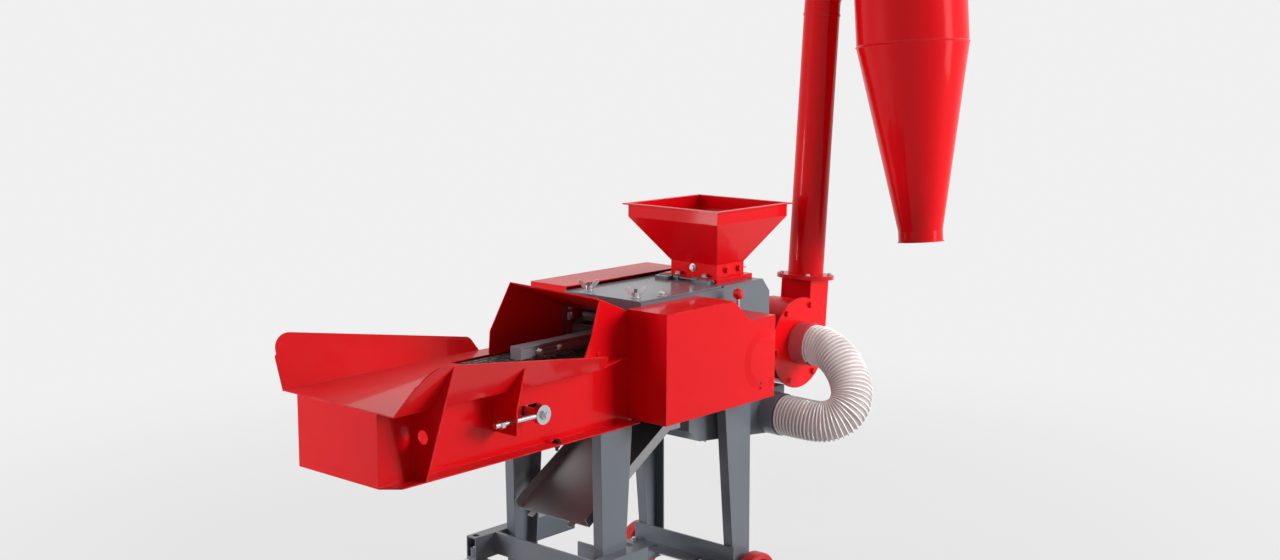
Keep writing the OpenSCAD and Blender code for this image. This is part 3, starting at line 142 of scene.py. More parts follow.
# studio: pale floor, white surround, two strip lamps that show in the gloss, and softer lamps that don't
studio = {"paper": (0.871, 0.871, 0.871), "surround": 0.11, "floorSize": 40.0,
          "floorTone": (0.50, 0.50, 0.50), "floorRoughness": 0.9, "floorSpecular": 0.1,
          "shadowShare": 0.18, "fadeFrom": 1.0, "fadeTo": 3.2}
lamps = {
    "keySoftbox": {"place": (2.4, -3.4, 1.75), "aim": (0.0, 0.0, 0.75), "size": (2.2, 1.9), "power": 164,
                   "mirrored": False},
    "stripSoftbox": {"place": (1.9, -3.6, 2.0), "aim": (0.3, 0.0, 1.1), "size": (1.1, 2.6), "power": 42},
    "topSoftbox": {"place": (0.9, 0.2, 4.0), "aim": (0.0, 0.0, 0.7), "size": (3.0, 2.6), "power": 42,
                   "mirrored": False},
    "frontFill": {"place": (-3.1, 2.3, 1.7), "aim": (-0.5, 0.0, 0.65), "size": (1.8, 2.5), "power": 94,
                  "mirrored": False},
    "edgeStrip": {"place": (-3.1, 2.3, 0.85), "aim": (0.6, -0.1, 0.85), "size": (0.5, 1.0), "power": 20},
    "hoseFill": {"place": (-1.5, -3.1, 1.7), "aim": (0.52, -0.15, 0.50), "size": (0.3, 0.3), "power": 0.23,
                 "spread": 8, "mirrored": False},    # a narrow beam on the hose and the fan
}


def paperShare(tree):
    # 1 for what the camera, a reflection or a clear wall sees
    path = tree.nodes.new("ShaderNodeLightPath").outputs
    seen = mathNode(tree, "MAXIMUM", path["Is Camera Ray"], path["Is Glossy Ray"])
    return mathNode(tree, "MAXIMUM", seen, path["Is Transmission Ray"])


def makeSurround(facts):
    world = bpy.data.worlds.new("studioSurround")
    scene.world = world
    world.use_nodes = True
    tree = world.node_tree
    tree.nodes.clear()
    lit = tree.nodes.new("ShaderNodeBackground")
    lit.inputs["Color"].default_value = (1, 1, 1, 1)
    lit.inputs["Strength"].default_value = facts["surround"]
    seen = tree.nodes.new("ShaderNodeBackground")
    seen.inputs["Color"].default_value = (*facts["paper"], 1)
    seen.inputs["Strength"].default_value = 1
    blendShaders(tree, paperShare(tree), lit, seen, tree.nodes.new("ShaderNodeOutputWorld"))


def makeFloor(facts):
    bm = bmesh.new()
    bmesh.ops.create_grid(bm, x_segments=1, y_segments=1, size=facts["floorSize"] / 2)
    mesh = bpy.data.meshes.new("studioFloor")
    bm.to_mesh(mesh)
    bm.free()
    floor = bpy.data.objects.new("studioFloor", mesh)
    scene.collection.objects.link(floor)
    paper, tree, base = newFinish("paperFloor")
    base.inputs["Base Color"].default_value = (*facts["floorTone"], 1)
    base.inputs["Roughness"].default_value = facts["floorRoughness"]
    base.inputs["Specular IOR Level"].default_value = facts["floorSpecular"]
    glow = tree.nodes.new("ShaderNodeEmission")
    glow.inputs["Color"].default_value = (*facts["paper"], 1)
    reach = tree.nodes.new("ShaderNodeVectorMath")
    reach.operation = "LENGTH"
    tree.links.new(objectPlace(tree), reach.inputs[0])
    fade = rangeNode(tree, reach.outputs["Value"], facts["fadeFrom"], facts["fadeTo"],
                     1 - facts["shadowShare"])
    fade.node.interpolation_type = "SMOOTHSTEP"
    share = mathNode(tree, "MULTIPLY", fade, paperShare(tree))
    blendShaders(tree, share, base, glow, tree.nodes["Material Output"])
    mesh.materials.append(paper)


def makeLamps(facts):
    for name, lamp in facts.items():
        light = bpy.data.lights.new(name, "AREA")
        light.shape = "RECTANGLE"
        light.size, light.size_y = lamp["size"]
        light.energy = lamp["power"]
        light.spread = math.radians(lamp.get("spread", 180))
        holder = bpy.data.objects.new(name, light)
        scene.collection.objects.link(holder)
        holder.location = lamp["place"]
        holder.visible_glossy = lamp.get("mirrored", True)
        look = Vector(lamp["aim"]) - Vector(lamp["place"])
        holder.rotation_euler = look.to_track_quat("-Z", "Y").to_euler()


makeSurround(studio)
makeFloor(studio)
makeLamps(lamps)
print("studio lit")


# shader groups shared by the finishes; a noise is given as its scale, detail and roughness
def newGroup(name, inputs, outputs):
    group = bpy.data.node_groups.new(name, "ShaderNodeTree")
    for label, kind, value in inputs:
        socket = group.interface.new_socket(label, in_out="INPUT", socket_type=kind)
        socket.default_value = value
    for label, kind in outputs:
        group.interface.new_socket(label, in_out="OUTPUT", socket_type=kind)
    start = group.nodes.new("NodeGroupInput")
    end = group.nodes.new("NodeGroupOutput")
    return group, start, end


sprayFacts = {"scale": 700.0, "fineDetail": 1.5, "broad": (22.0, 2.0), "broadShare": 2.4}


def makeSprayGroup(facts):
    # fine ripple of sprayed paint on a broad one
    group, start, end = newGroup("sprayRipple", [("Scale", "NodeSocketFloat", facts["scale"])],
                                 [("Height", "NodeSocketFloat")])
    place = objectPlace(group)
    fine = noiseNode(group, place, start.outputs["Scale"], facts["fineDetail"])
    broad = noiseNode(group, place, *facts["broad"])
    group.links.new(mathNode(group, "MULTIPLY_ADD", broad, facts["broadShare"], fine), end.inputs["Height"])
    return group


edgeFacts = {"radius": 0.003, "amount": 0.5, "samples": 4, "flat": 0.995, "sharp": 0.80,
             "noise": (34.0, 4.0, 0.65), "broken": (0.42, 0.66)}


def makeEdgeGroup(facts):
    # mask along the folded and cut edges, broken up by noise, for edge wear and a painted edge highlight
    group, start, end = newGroup(
        "edgeWearAndHighlight", [("Radius", "NodeSocketFloat", facts["radius"]),
                     ("Amount", "NodeSocketFloat", facts["amount"])],
        [("Mask", "NodeSocketFloat"), ("Soft Normal", "NodeSocketVector")])
    rounded = group.nodes.new("ShaderNodeBevel")
    rounded.samples = facts["samples"]
    group.links.new(start.outputs["Radius"], rounded.inputs["Radius"])
    face = group.nodes.new("ShaderNodeNewGeometry")
    dot = group.nodes.new("ShaderNodeVectorMath")
    dot.operation = "DOT_PRODUCT"
    group.links.new(rounded.outputs["Normal"], dot.inputs[0])
    group.links.new(face.outputs["Normal"], dot.inputs[1])
    edge = rangeNode(group, dot.outputs["Value"], facts["flat"], facts["sharp"])
    broken = rangeNode(group, noiseNode(group, objectPlace(group), *facts["noise"]), *facts["broken"])
    mask = mathNode(group, "MULTIPLY", edge, broken)
    mask = mathNode(group, "MULTIPLY", mask, start.outputs["Amount"], clamp=True)
    group.links.new(mask, end.inputs["Mask"])
    group.links.new(rounded.outputs["Normal"], end.inputs["Soft Normal"])
    return group


toneFacts = {"colour": (0.5, 0.5, 0.5, 1), "drift": 0.08, "dust": 0.05, "dustColour": (0.6, 0.56, 0.5, 1),
             "slow": (5.0, 3.0), "noiseMiddle": 0.5, "facesUp": (0.4, 0.95),
             "patches": (14.0, 6.0, 0.6), "patchRange": (0.35, 0.75)}


def makeToneGroup(facts):
    # slow drift of tone over a panel and a little dust on what faces up
    group, start, end = newGroup(
        "toneAndDust", [("Colour", "NodeSocketColor", facts["colour"]),
                        ("Drift", "NodeSocketFloat", facts["drift"]),
                        ("Dust", "NodeSocketFloat", facts["dust"]),
                        ("Dust Colour", "NodeSocketColor", facts["dustColour"])],
        [("Colour", "NodeSocketColor"), ("Dust Mask", "NodeSocketFloat")])
    place = objectPlace(group)
    around = mathNode(group, "SUBTRACT", noiseNode(group, place, *facts["slow"]), facts["noiseMiddle"])
    factor = mathNode(group, "MULTIPLY", around, start.outputs["Drift"])
    level = mathNode(group, "MULTIPLY_ADD", factor, 2.0, 1.0)    # 1 with the drift to either side
    scaled = group.nodes.new("ShaderNodeVectorMath")
    scaled.operation = "SCALE"
    group.links.new(start.outputs["Colour"], scaled.inputs[0])
    group.links.new(level, scaled.inputs["Scale"])
    face = group.nodes.new("ShaderNodeNewGeometry")
    split = group.nodes.new("ShaderNodeSeparateXYZ")
    group.links.new(face.outputs["Normal"], split.inputs[0])
    up = rangeNode(group, split.outputs["Z"], *facts["facesUp"])
    patch = rangeNode(group, noiseNode(group, place, *facts["patches"]), *facts["patchRange"])
    dust = mathNode(group, "MULTIPLY", up, patch)
    dust = mathNode(group, "MULTIPLY", dust, start.outputs["Dust"], clamp=True)
    colour = mixColour(group, dust, scaled.outputs[0], start.outputs["Dust Colour"])
    group.links.new(colour, end.inputs["Colour"])
    group.links.new(dust, end.inputs["Dust Mask"])
    return group


grainFacts = {"stretch": (4, 4, 260), "lines": (1.0, 5.0, 0.6), "cloud": (9.0, 4.0),
              "lineShare": 0.5, "cloudShare": 0.5}


def makeGrainGroup(facts):
    # drawn or brushed lines of bare metal
    group, start, end = newGroup("metalGrain", [("Stretch", "NodeSocketVector", facts["stretch"])],
                                 [("Height", "NodeSocketFloat"), ("Tone", "NodeSocketFloat")])
    place = objectPlace(group)
    stretched = group.nodes.new("ShaderNodeVectorMath")
    stretched.operation = "MULTIPLY"
    group.links.new(place, stretched.inputs[0])
    group.links.new(start.outputs["Stretch"], stretched.inputs[1])
    lines = noiseNode(group, stretched.outputs[0], *facts["lines"])
    cloud = mathNode(group, "MULTIPLY", noiseNode(group, place, *facts["cloud"]), facts["cloudShare"])
    group.links.new(lines, end.inputs["Height"])
    group.links.new(mathNode(group, "MULTIPLY_ADD", lines, facts["lineShare"], cloud), end.inputs["Tone"])
    return group


sprayRipple = makeSprayGroup(sprayFacts)
edgeWearAndHighlight = makeEdgeGroup(edgeFacts)
toneAndDust = makeToneGroup(toneFacts)
metalGrain = makeGrainGroup(grainFacts)
print("shader groups built")


# finishes, one for each material slot, and a few for single pieces
def placeGroup(tree, group, **values):
    node = tree.nodes.new("ShaderNodeGroup")
    node.node_tree = group
    for label, value in values.items():
        node.inputs[label].default_value = value
    return node


def bumpInto(tree, bsdf, height, normal, strength, distance):
    bump = tree.nodes.new("ShaderNodeBump")
    bump.inputs["Strength"].default_value = strength
    bump.inputs["Distance"].default_value = distance
    tree.links.new(height, bump.inputs["Height"])
    if normal is not None:
        tree.links.new(normal, bump.inputs["Normal"])
    tree.links.new(bump.outputs["Normal"], bsdf.inputs["Normal"])


# each paint's lighter edge colour is partly edge wear and partly a painted edge highlight
paints = {
    "red_paint": {"colour": (0.72, 0.002, 0.006, 1), "wearAndHighlight": (0.95, 0.20, 0.17, 1), "roughness": 0.34,
                  "specular": 0.08, "coat": 0.38, "coatIor": 1.33, "coatRoughness": 0.06, "edge": 0.0022,
                  "edgeAmount": 0.60, "drift": 0.07, "dust": 0.035, "ripple": 0.10, "scale": 620.0},
    # near-black for rivets and bolts that sit in shade: painted shade
    "paintedShadeBlack": {"colour": (0.016, 0.016, 0.018, 1), "wearAndHighlight": (0.10, 0.10, 0.10, 1), "roughness": 0.55,
                   "specular": 0.20, "coat": 0.0, "coatIor": 1.40, "coatRoughness": 0.2, "edge": 0.0004,
                   "edgeAmount": 0.3, "drift": 0.10, "dust": 0.03, "ripple": 0.10, "scale": 900.0},
    "cuffClear": {"colour": (0.42, 0.080, 0.088, 1), "wearAndHighlight": (0.46, 0.18, 0.17, 1), "roughness": 0.22,
                  "specular": 0.50, "coat": 0.30, "coatIor": 1.42, "coatRoughness": 0.08, "edge": 0.0010,
                  "edgeAmount": 0.3, "drift": 0.16, "dust": 0.02, "ripple": 0.20, "scale": 260.0},
    # the press grey is the slate paint made lighter: painted light for the press beam lit in the throat
    "pressGreyPaintedLight": {"colour": (0.21, 0.22, 0.24, 1), "wearAndHighlight": (0.50, 0.51, 0.52, 1), "roughness": 0.34,
                  "specular": 0.35, "coat": 0.45, "coatIor": 1.40, "coatRoughness": 0.14, "edge": 0.0012,
                  "edgeAmount": 0.45, "drift": 0.10, "dust": 0.04, "ripple": 0.12, "scale": 760.0},
    "slate_paint": {"colour": (0.130, 0.146, 0.170, 1), "wearAndHighlight": (0.34, 0.36, 0.38, 1), "roughness": 0.36,
                    "specular": 0.30, "coat": 0.55, "coatIor": 1.40, "coatRoughness": 0.12, "edge": 0.0020,
                    "edgeAmount": 0.35, "drift": 0.10, "dust": 0.05, "ripple": 0.16, "scale": 760.0},
}
allPaints = {"dustFull": 0.3, "dustRoughness": 0.25, "rippleDepth": 0.0006}


def makePaint(name, facts):
    material, tree, bsdf = newFinish(name)
    tone = placeGroup(tree, toneAndDust, Colour=facts["colour"], Drift=facts["drift"], Dust=facts["dust"])
    wearAndHighlight = placeGroup(tree, edgeWearAndHighlight, Radius=facts["edge"], Amount=facts["edgeAmount"])
    ripple = placeGroup(tree, sprayRipple, Scale=facts["scale"])
    # the edges take the lighter colour: edge wear and a painted edge highlight
    colour = mixColour(tree, wearAndHighlight.outputs["Mask"], tone.outputs["Colour"], facts["wearAndHighlight"])
    tree.links.new(colour, bsdf.inputs["Base Color"])
    rough = rangeNode(tree, tone.outputs["Dust Mask"], 0.0, allPaints["dustFull"],
                      facts["roughness"], facts["roughness"] + allPaints["dustRoughness"])
    tree.links.new(rough, bsdf.inputs["Roughness"])
    bsdf.inputs["Specular IOR Level"].default_value = facts["specular"]
    bsdf.inputs["Coat Weight"].default_value = facts["coat"]
    bsdf.inputs["Coat Roughness"].default_value = facts["coatRoughness"]
    bsdf.inputs["Coat IOR"].default_value = facts["coatIor"]
    bumpInto(tree, bsdf, ripple.outputs["Height"], wearAndHighlight.outputs["Soft Normal"], facts["ripple"],
             allPaints["rippleDepth"])
    return material


metals = {
    "zinc_plate": {"colour": (0.66, 0.67, 0.69, 1), "dark": (0.50, 0.51, 0.53, 1),
                   "roughness": (0.22, 0.36), "stretch": (60, 60, 60), "bump": 0.05, "edge": 0.0008},
    "stainless": {"colour": (0.40, 0.40, 0.41, 1), "dark": (0.30, 0.30, 0.31, 1),
                  "roughness": (0.38, 0.50), "stretch": (5, 320, 5), "bump": 0.10, "edge": 0.0010},
    "bright_steel": {"colour": (0.56, 0.56, 0.57, 1), "dark": (0.40, 0.40, 0.41, 1),
                     "roughness": (0.25, 0.42), "stretch": (60, 420, 60), "bump": 0.08, "edge": 0.0010},
    "pulley_iron": {"colour": (0.22, 0.22, 0.23, 1), "dark": (0.13, 0.13, 0.14, 1),
                    "roughness": (0.42, 0.62), "stretch": (160, 160, 160), "bump": 0.25, "edge": 0.0012},
}
allMetals = {"edgeAmount": 0.6, "edgeBright": 1.25, "toneRange": (0.3, 0.7), "grainDepth": 0.0004}


def makeMetal(name, facts):
    material, tree, bsdf = newFinish(name)
    grain = placeGroup(tree, metalGrain, Stretch=facts["stretch"])
    soft = placeGroup(tree, edgeWearAndHighlight, Radius=facts["edge"], Amount=allMetals["edgeAmount"])
    tinted = mixColour(tree, grain.outputs["Tone"], facts["dark"], facts["colour"])
    # the edges are lightened: edge wear and a painted edge highlight
    bright = tuple(min(1.0, c * allMetals["edgeBright"]) for c in facts["colour"][:3]) + (1,)
    tree.links.new(mixColour(tree, soft.outputs["Mask"], tinted, bright), bsdf.inputs["Base Color"])
    rough = rangeNode(tree, grain.outputs["Tone"], *allMetals["toneRange"], *facts["roughness"])
    tree.links.new(rough, bsdf.inputs["Roughness"])
    bsdf.inputs["Metallic"].default_value = 1.0
    bumpInto(tree, bsdf, grain.outputs["Height"], soft.outputs["Soft Normal"], facts["bump"],
             allMetals["grainDepth"])
    return material


# the lighter crown colour is partly wear and partly a painted glint
rubber = {"colour": (0.014, 0.014, 0.015, 1), "crownWearAndGlint": (0.30, 0.295, 0.29, 1), "roughness": 0.22,
          "grooveRoughness": 0.7, "knobs": 62.0, "randomness": 0.55, "smoothness": 0.35,
          "crown": (0.50, 0.10), "scuffAndGlint": (40.0, 4.0), "bump": 0.9, "depth": 0.0060}


def makeRubber(name, facts):
    # rough-top belting: close raised knobs whose lighter crowns are partly wear and partly painted glints
    material, tree, bsdf = newFinish(name)
    place = objectPlace(tree)
    cells = tree.nodes.new("ShaderNodeTexVoronoi")
    cells.feature = "SMOOTH_F1"
    cells.inputs["Scale"].default_value = facts["knobs"]
    cells.inputs["Randomness"].default_value = facts["randomness"]
    cells.inputs["Smoothness"].default_value = facts["smoothness"]
    tree.links.new(place, cells.inputs["Vector"])
    crown = rangeNode(tree, cells.outputs["Distance"], *facts["crown"])
    # lighter crowns broken by noise: wear and painted glints
    scuffAndGlint = mathNode(tree, "MULTIPLY", crown, noiseNode(tree, place, *facts["scuffAndGlint"]), clamp=True)
    tree.links.new(mixColour(tree, scuffAndGlint, facts["colour"], facts["crownWearAndGlint"]), bsdf.inputs["Base Color"])
    rough = rangeNode(tree, crown, 0.0, 1.0, facts["grooveRoughness"], facts["roughness"])
    tree.links.new(rough, bsdf.inputs["Roughness"])
    bumpInto(tree, bsdf, crown, None, facts["bump"], facts["depth"])
    return material


plastics = {
    "knob_plastic": {"colour": (0.66, 0.010, 0.012, 1), "roughness": 0.18, "ripple": 0.03, "dust": 0.0},
    "wheel_plastic": {"colour": (0.58, 0.010, 0.012, 1), "roughness": 0.34, "ripple": 0.15, "dust": 0.06},
}
# the lighter edge colour is partly edge wear and partly a painted edge highlight
allPlastics = {"wearAndHighlight": (0.8, 0.2, 0.18, 1), "drift": 0.08, "edge": 0.0014, "edgeAmount": 0.2,
               "scale": 900.0, "dustFull": 0.3, "dustyRoughness": 0.6, "rippleDepth": 0.0004}


def makePlastic(name, facts):
    material, tree, bsdf = newFinish(name)
    tone = placeGroup(tree, toneAndDust, Colour=facts["colour"], Drift=allPlastics["drift"],
                      Dust=facts["dust"])
    soft = placeGroup(tree, edgeWearAndHighlight, Radius=allPlastics["edge"], Amount=allPlastics["edgeAmount"])
    ripple = placeGroup(tree, sprayRipple, Scale=allPlastics["scale"])
    # the edges take a lighter pink: edge wear and a painted edge highlight
    colour = mixColour(tree, soft.outputs["Mask"], tone.outputs["Colour"], allPlastics["wearAndHighlight"])
    tree.links.new(colour, bsdf.inputs["Base Color"])
    rough = rangeNode(tree, tone.outputs["Dust Mask"], 0.0, allPlastics["dustFull"],
                      facts["roughness"], allPlastics["dustyRoughness"])
    tree.links.new(rough, bsdf.inputs["Roughness"])
    bumpInto(tree, bsdf, ripple.outputs["Height"], soft.outputs["Soft Normal"], facts["ripple"],
             allPlastics["rippleDepth"])
    return material


hosePlastics = {
    "hose_plastic": {"colour": (0.63, 0.525, 0.516, 1), "drift": 0.05, "dust": 0.02, "scale": 260.0,
                     "roughness": (0.24, 0.42), "bump": 0.25, "depth": 0.0008, "clear": 0.16, "ior": 1.42},
    "hoseSpiralWhite": {"colour": (0.80, 0.78, 0.77, 1), "drift": 0.04, "dust": 0.03, "scale": 500.0,
                        "roughness": (0.25, 0.38), "bump": 0.12, "depth": 0.0004},
}
rippleRange = (0.6, 2.6)    # the spray ripple's height, low to high


def makeHosePlastic(name, facts):
    material, tree, bsdf = newFinish(name)
    tone = placeGroup(tree, toneAndDust, Colour=facts["colour"], Drift=facts["drift"], Dust=facts["dust"])
    tree.links.new(tone.outputs["Colour"], bsdf.inputs["Base Color"])
    ripple = placeGroup(tree, sprayRipple, Scale=facts["scale"])
    rough = rangeNode(tree, ripple.outputs["Height"], *rippleRange, *facts["roughness"])
    tree.links.new(rough, bsdf.inputs["Roughness"])
    if "clear" in facts:
        bsdf.inputs["Transmission Weight"].default_value = facts["clear"]
        bsdf.inputs["IOR"].default_value = facts["ior"]
    bumpInto(tree, bsdf, ripple.outputs["Height"], None, facts["bump"], facts["depth"])
    return material


finishes = {name: makePaint(name, facts) for name, facts in paints.items()}
finishes.update({name: makeMetal(name, facts) for name, facts in metals.items()})
finishes.update({name: makePlastic(name, facts) for name, facts in plastics.items()})
finishes.update({name: makeHosePlastic(name, facts) for name, facts in hosePlastics.items()})
finishes["belt_rubber"] = makeRubber("belt_rubber", rubber)

nodeFinish = {"press_frame": "pressGreyPaintedLight"}    # the slot's slate paint made lighter: painted light for the lit press beam


def dressNodes(ownFinish):
    subparts = frame["record"]["subparts"]
    for part in subparts:
        mesh = frame["nodes"][part["node"]].data
        mesh.materials.clear()
        mesh.materials.append(finishes[ownFinish.get(part["node"], part["material_slot"])])
    print("finishes on", len(subparts), "nodes")


dressNodes(nodeFinish)


mergeWithin = 1e-6    # metres, between points that are one


# suction hose: a clear wall with a white spiral moulded round it
hoseFacts = {"low": (545, -145, 427), "high": (665, -145, 583), "turnY": -157, "bendDepth": 138, "sag": 40,
             "sagLead": 1.5, "outside": 47, "wall": 2, "wallPoints": 120, "wallRoundness": 10,
             "spiralAt": 48.4, "spiralRadius": 2.1, "spiralRoundness": 2, "turns": 48, "perTurn": 20}


def hoseSpan(facts):
    # half the distance between the ends, its direction, and the length of the half turn
    low, high = Vector(facts["low"]), Vector(facts["high"])
    span = Vector((high.x - low.x, 0, high.z - low.z))
    radius = span.length / 2
    return radius, span.normalized(), math.pi * (radius + facts["bendDepth"]) / 2


def hosePlace(facts, s):
    # middle line at distance s from the lower end, with two directions across it
    low, high, depth = Vector(facts["low"]), Vector(facts["high"]), facts["bendDepth"]
    sag, lead = facts["sag"], facts["sagLead"]
    radius, side, bend = hoseSpan(facts)
    straight = low.y - facts["turnY"]
    flat = Vector((side.z, 0, -side.x))
    if s < straight:
        return low + Vector((0, -s, 0)), side, flat
    if s > straight + bend:
        return Vector((high.x, facts["turnY"] + s - straight - bend, high.z)), -side, flat
    share = (s - straight) / bend
    a = math.pi * share - (depth - radius) / (depth + radius) * math.sin(2 * math.pi * share) / 2
    sunk = math.sin(a) ** 2
    run = (Vector((0, -depth * math.cos(a), -sag * (lead - sunk) * math.sin(2 * a)))
           + side * radius * math.sin(a))
    level = (flat - run * flat.dot(run) / run.length_squared).normalized()
    middle = (Vector((low.x, facts["turnY"] - depth * math.sin(a), low.z - sag * sunk * (lead - sunk / 2)))
              + side * radius * (1 - math.cos(a)))
    return middle, run.cross(level).normalized(), level


def hoseLength(facts):
    return facts["low"][1] + facts["high"][1] - 2 * facts["turnY"] + hoseSpan(facts)[2]


def curvePiece(name, points, radius, roundness, finish):
    curve = bpy.data.curves.new(name, "CURVE")
    curve.dimensions, curve.bevel_depth, curve.bevel_resolution = "3D", radius, roundness
    curve.use_fill_caps = True
    spline = curve.splines.new("POLY")
    spline.points.add(len(points) - 1)
    for target, point in zip(spline.points, points):
        target.co = (*point, 1)
    spline.use_smooth = True
    curve.materials.append(finish)
    piece = bpy.data.objects.new(name, curve)
    scene.collection.objects.link(piece)
    return piece


def makeHoseWall(facts, length):
    # a curve gives the tube, which is made a mesh and then gets its thickness
    count = facts["wallPoints"]
    middle = [onMachine(*hosePlace(facts, length * i / count)[0]) for i in range(count + 1)]
    radius = (facts["outside"] - facts["wall"] / 2) / perMetre
    route = curvePiece("hoseRoute", middle, radius, facts["wallRoundness"], finishes["hose_plastic"])
    route.data.use_fill_caps = False
    shown = route.evaluated_get(bpy.context.evaluated_depsgraph_get())
    mesh = bpy.data.meshes.new_from_object(shown)
    bpy.data.objects.remove(route)
    wall = bpy.data.objects.new("hoseWall", mesh)
    scene.collection.objects.link(wall)
    bm = bmesh.new()
    bm.from_mesh(mesh)
    bmesh.ops.remove_doubles(bm, verts=bm.verts, dist=mergeWithin)
    bmesh.ops.recalc_face_normals(bm, faces=bm.faces)
    bmesh.ops.solidify(bm, geom=bm.faces, thickness=facts["wall"] / perMetre)
    for face in bm.faces:
        face.smooth = True
    bm.to_mesh(mesh)
    bm.free()
    return wall


def makeHoseSpiral(facts, length):
    steps = facts["turns"] * facts["perTurn"]
    turns = []
    for i in range(steps + 1):
        point, across, flat = hosePlace(facts, length * i / steps)
        a = 2 * math.pi * i / facts["perTurn"]
        turns.append(onMachine(*(point + facts["spiralAt"] * (across * math.cos(a) + flat * math.sin(a)))))
    return curvePiece("hoseSpiral", turns, facts["spiralRadius"] / perMetre, facts["spiralRoundness"],
                      finishes["hoseSpiralWhite"])


def makeHose(facts):
    length = hoseLength(facts)
    wall, spiral = makeHoseWall(facts, length), makeHoseSpiral(facts, length)
    for piece in (wall, spiral):
        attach(piece, "frame")
    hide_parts("suction_hose")
    print("hose", round(length), "mm long,", facts["turns"], "turns of spiral")


makeHose(hoseFacts)


# bolts, dome nuts and rivets, gathered into one piece for each body and finish
riserFoot = {"fan": (665, 583), "lean": 4.2, "pipe": (77, -55, 165), "boltCircle": 61.0,
             "boltAngles": (40, 130, 220, 310)}    # pipe: from the fan's middle, before the lean


def riserBolt(facts, degrees):
    # place on the riser's lower flange and the pipe's own direction
    angle, lean = math.radians(degrees), math.radians(facts["lean"])
    fanX, fanZ = facts["fan"]
    x, y, z = facts["pipe"]
    x += facts["boltCircle"] * math.cos(angle)
    y += facts["boltCircle"] * math.sin(angle)
    place = (fanX + x * math.cos(lean) + z * math.sin(lean), y,
             fanZ + z * math.cos(lean) - x * math.sin(lean))
    return place, (math.sin(lean), 0, math.cos(lean))


boltSizes = {"hex": {"across": 7.0, "head": 5.5, "washer": 9.5, "washerThick": 1.6},
             "stud": {"across": 7.0, "head": 6.0, "washer": 9.5, "washerThick": 1.6, "stud": 7.0},
             "small": {"across": 5.0, "head": 4.0, "washer": 7.0, "washerThick": 1.2},
             "pan": {"across": 6.0, "head": 3.0}, "rivet": {"across": 2.6, "head": 0.9},
             "dome": {"across": 9.0, "head": 11.0, "washer": 12.0, "washerThick": 2.0}}
boltForm = {"hexSides": 6, "washerSides": 28, "studSides": 18, "headSoften": 0.6, "washerSoften": 0.3,
            "rimAngle": 0.6, "domeSteps": 7, "domeSides": 24, "domeWidth": 0.8, "domeFrom": 0.45,
            "nutTo": 0.5, "studWidth": 0.5, "studFrom": 0.9}
boltGroups = {
    "frameBolts": {"body": "frame", "slot": "zinc_plate", "bolts": [
        ("pan", (58, 110.5, 726), (0, -1, 0)), ("pan", (126, 110.5, 690), (0, -1, 0)),
        ("hex", (369, 2, 795), (-1, 0, 0)),
        ("stud", (342, -60, 398.4), (0.113, 0, -0.994)), ("stud", (470, 60, 383.8), (0.113, 0, -0.994)),
        *(("small", *riserBolt(riserFoot, degrees)) for degrees in riserFoot["boltAngles"])]},
    "paintedBolts": {"body": "frame", "slot": "red_paint", "bolts": [
        ("pan", (-95, -117, 672), (0, -1, 0)), ("pan", (-95, 117, 672), (0, 1, 0)),
        ("hex", (404, -70, 792), (0, -1, 0)), ("hex", (452, -70, 792), (0, -1, 0)),
        ("hex", (404, 70, 792), (0, 1, 0)), ("hex", (452, 70, 792), (0, 1, 0))]},
    # the guard's rivets and the flange bolts are near-black as painted shade for recesses and shaded bolt
    # heads
    "guardRivets": {"body": "frame", "slot": "pulley_iron", "finish": "paintedShadeBlack", "bolts": [
        ("rivet", (334, -230, 554), (0, -1, 0)), ("rivet", (334, -230, 542), (0, -1, 0))]},
    "flangeBolts": {"body": "frame", "slot": "pulley_iron", "finish": "paintedShadeBlack", "bolts": [
        ("hex", (-243, -137, 511.5), (0, 0, 1)), ("stud", (-243, -137, 509), (0, 0, -1)),
        ("hex", (-243, 137, 511.5), (0, 0, 1)), ("stud", (-243, 137, 509), (0, 0, -1))]},
    "tailBolts": {"body": "tail", "slot": "zinc_plate", "bolts": [
        ("hex", (-315, -175.5, 588.9), (0, -1, 0)), ("hex", (-315, 175.5, 588.9), (0, 1, 0))]},
    "coverNut": {"body": "cover", "slot": "zinc_plate", "bolts": [("dome", (135, -100, 767), (0, 0, 1))]},
    "pressBolts": {"body": "press", "slot": "zinc_plate", "bolts": [
        ("hex", (-169, -14.5, 674), (0, -1, 0)), ("hex", (-107, -14.5, 674), (0, -1, 0))]},
}


def meshPiece(name, bm, finish, body):
    mesh = bpy.data.meshes.new(name)
    bm.to_mesh(mesh)
    bm.free()
    mesh.materials.append(finish)
    piece = bpy.data.objects.new(name, mesh)
    scene.collection.objects.link(piece)
    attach(piece, body)


def softenEdges(bm, edges, amount):
    bmesh.ops.bevel(bm, geom=list(edges), offset=amount / perMetre, segments=2, profile=0.5,
                    affect="EDGES", material=-1)


def addDisc(bm, base, sides, radius, low, high, soften):
    middle = base @ Matrix.Translation((0, 0, (low + high) / 2))
    made = bmesh.ops.create_cone(bm, cap_ends=True, segments=sides, radius1=radius, radius2=radius,
                                 depth=high - low, matrix=middle)
    rim = {e for v in made["verts"] for e in v.link_edges if len(e.link_faces) == 2
           and e.calc_face_angle(0) > boltForm["rimAngle"]}
    softenEdges(bm, rim, soften)


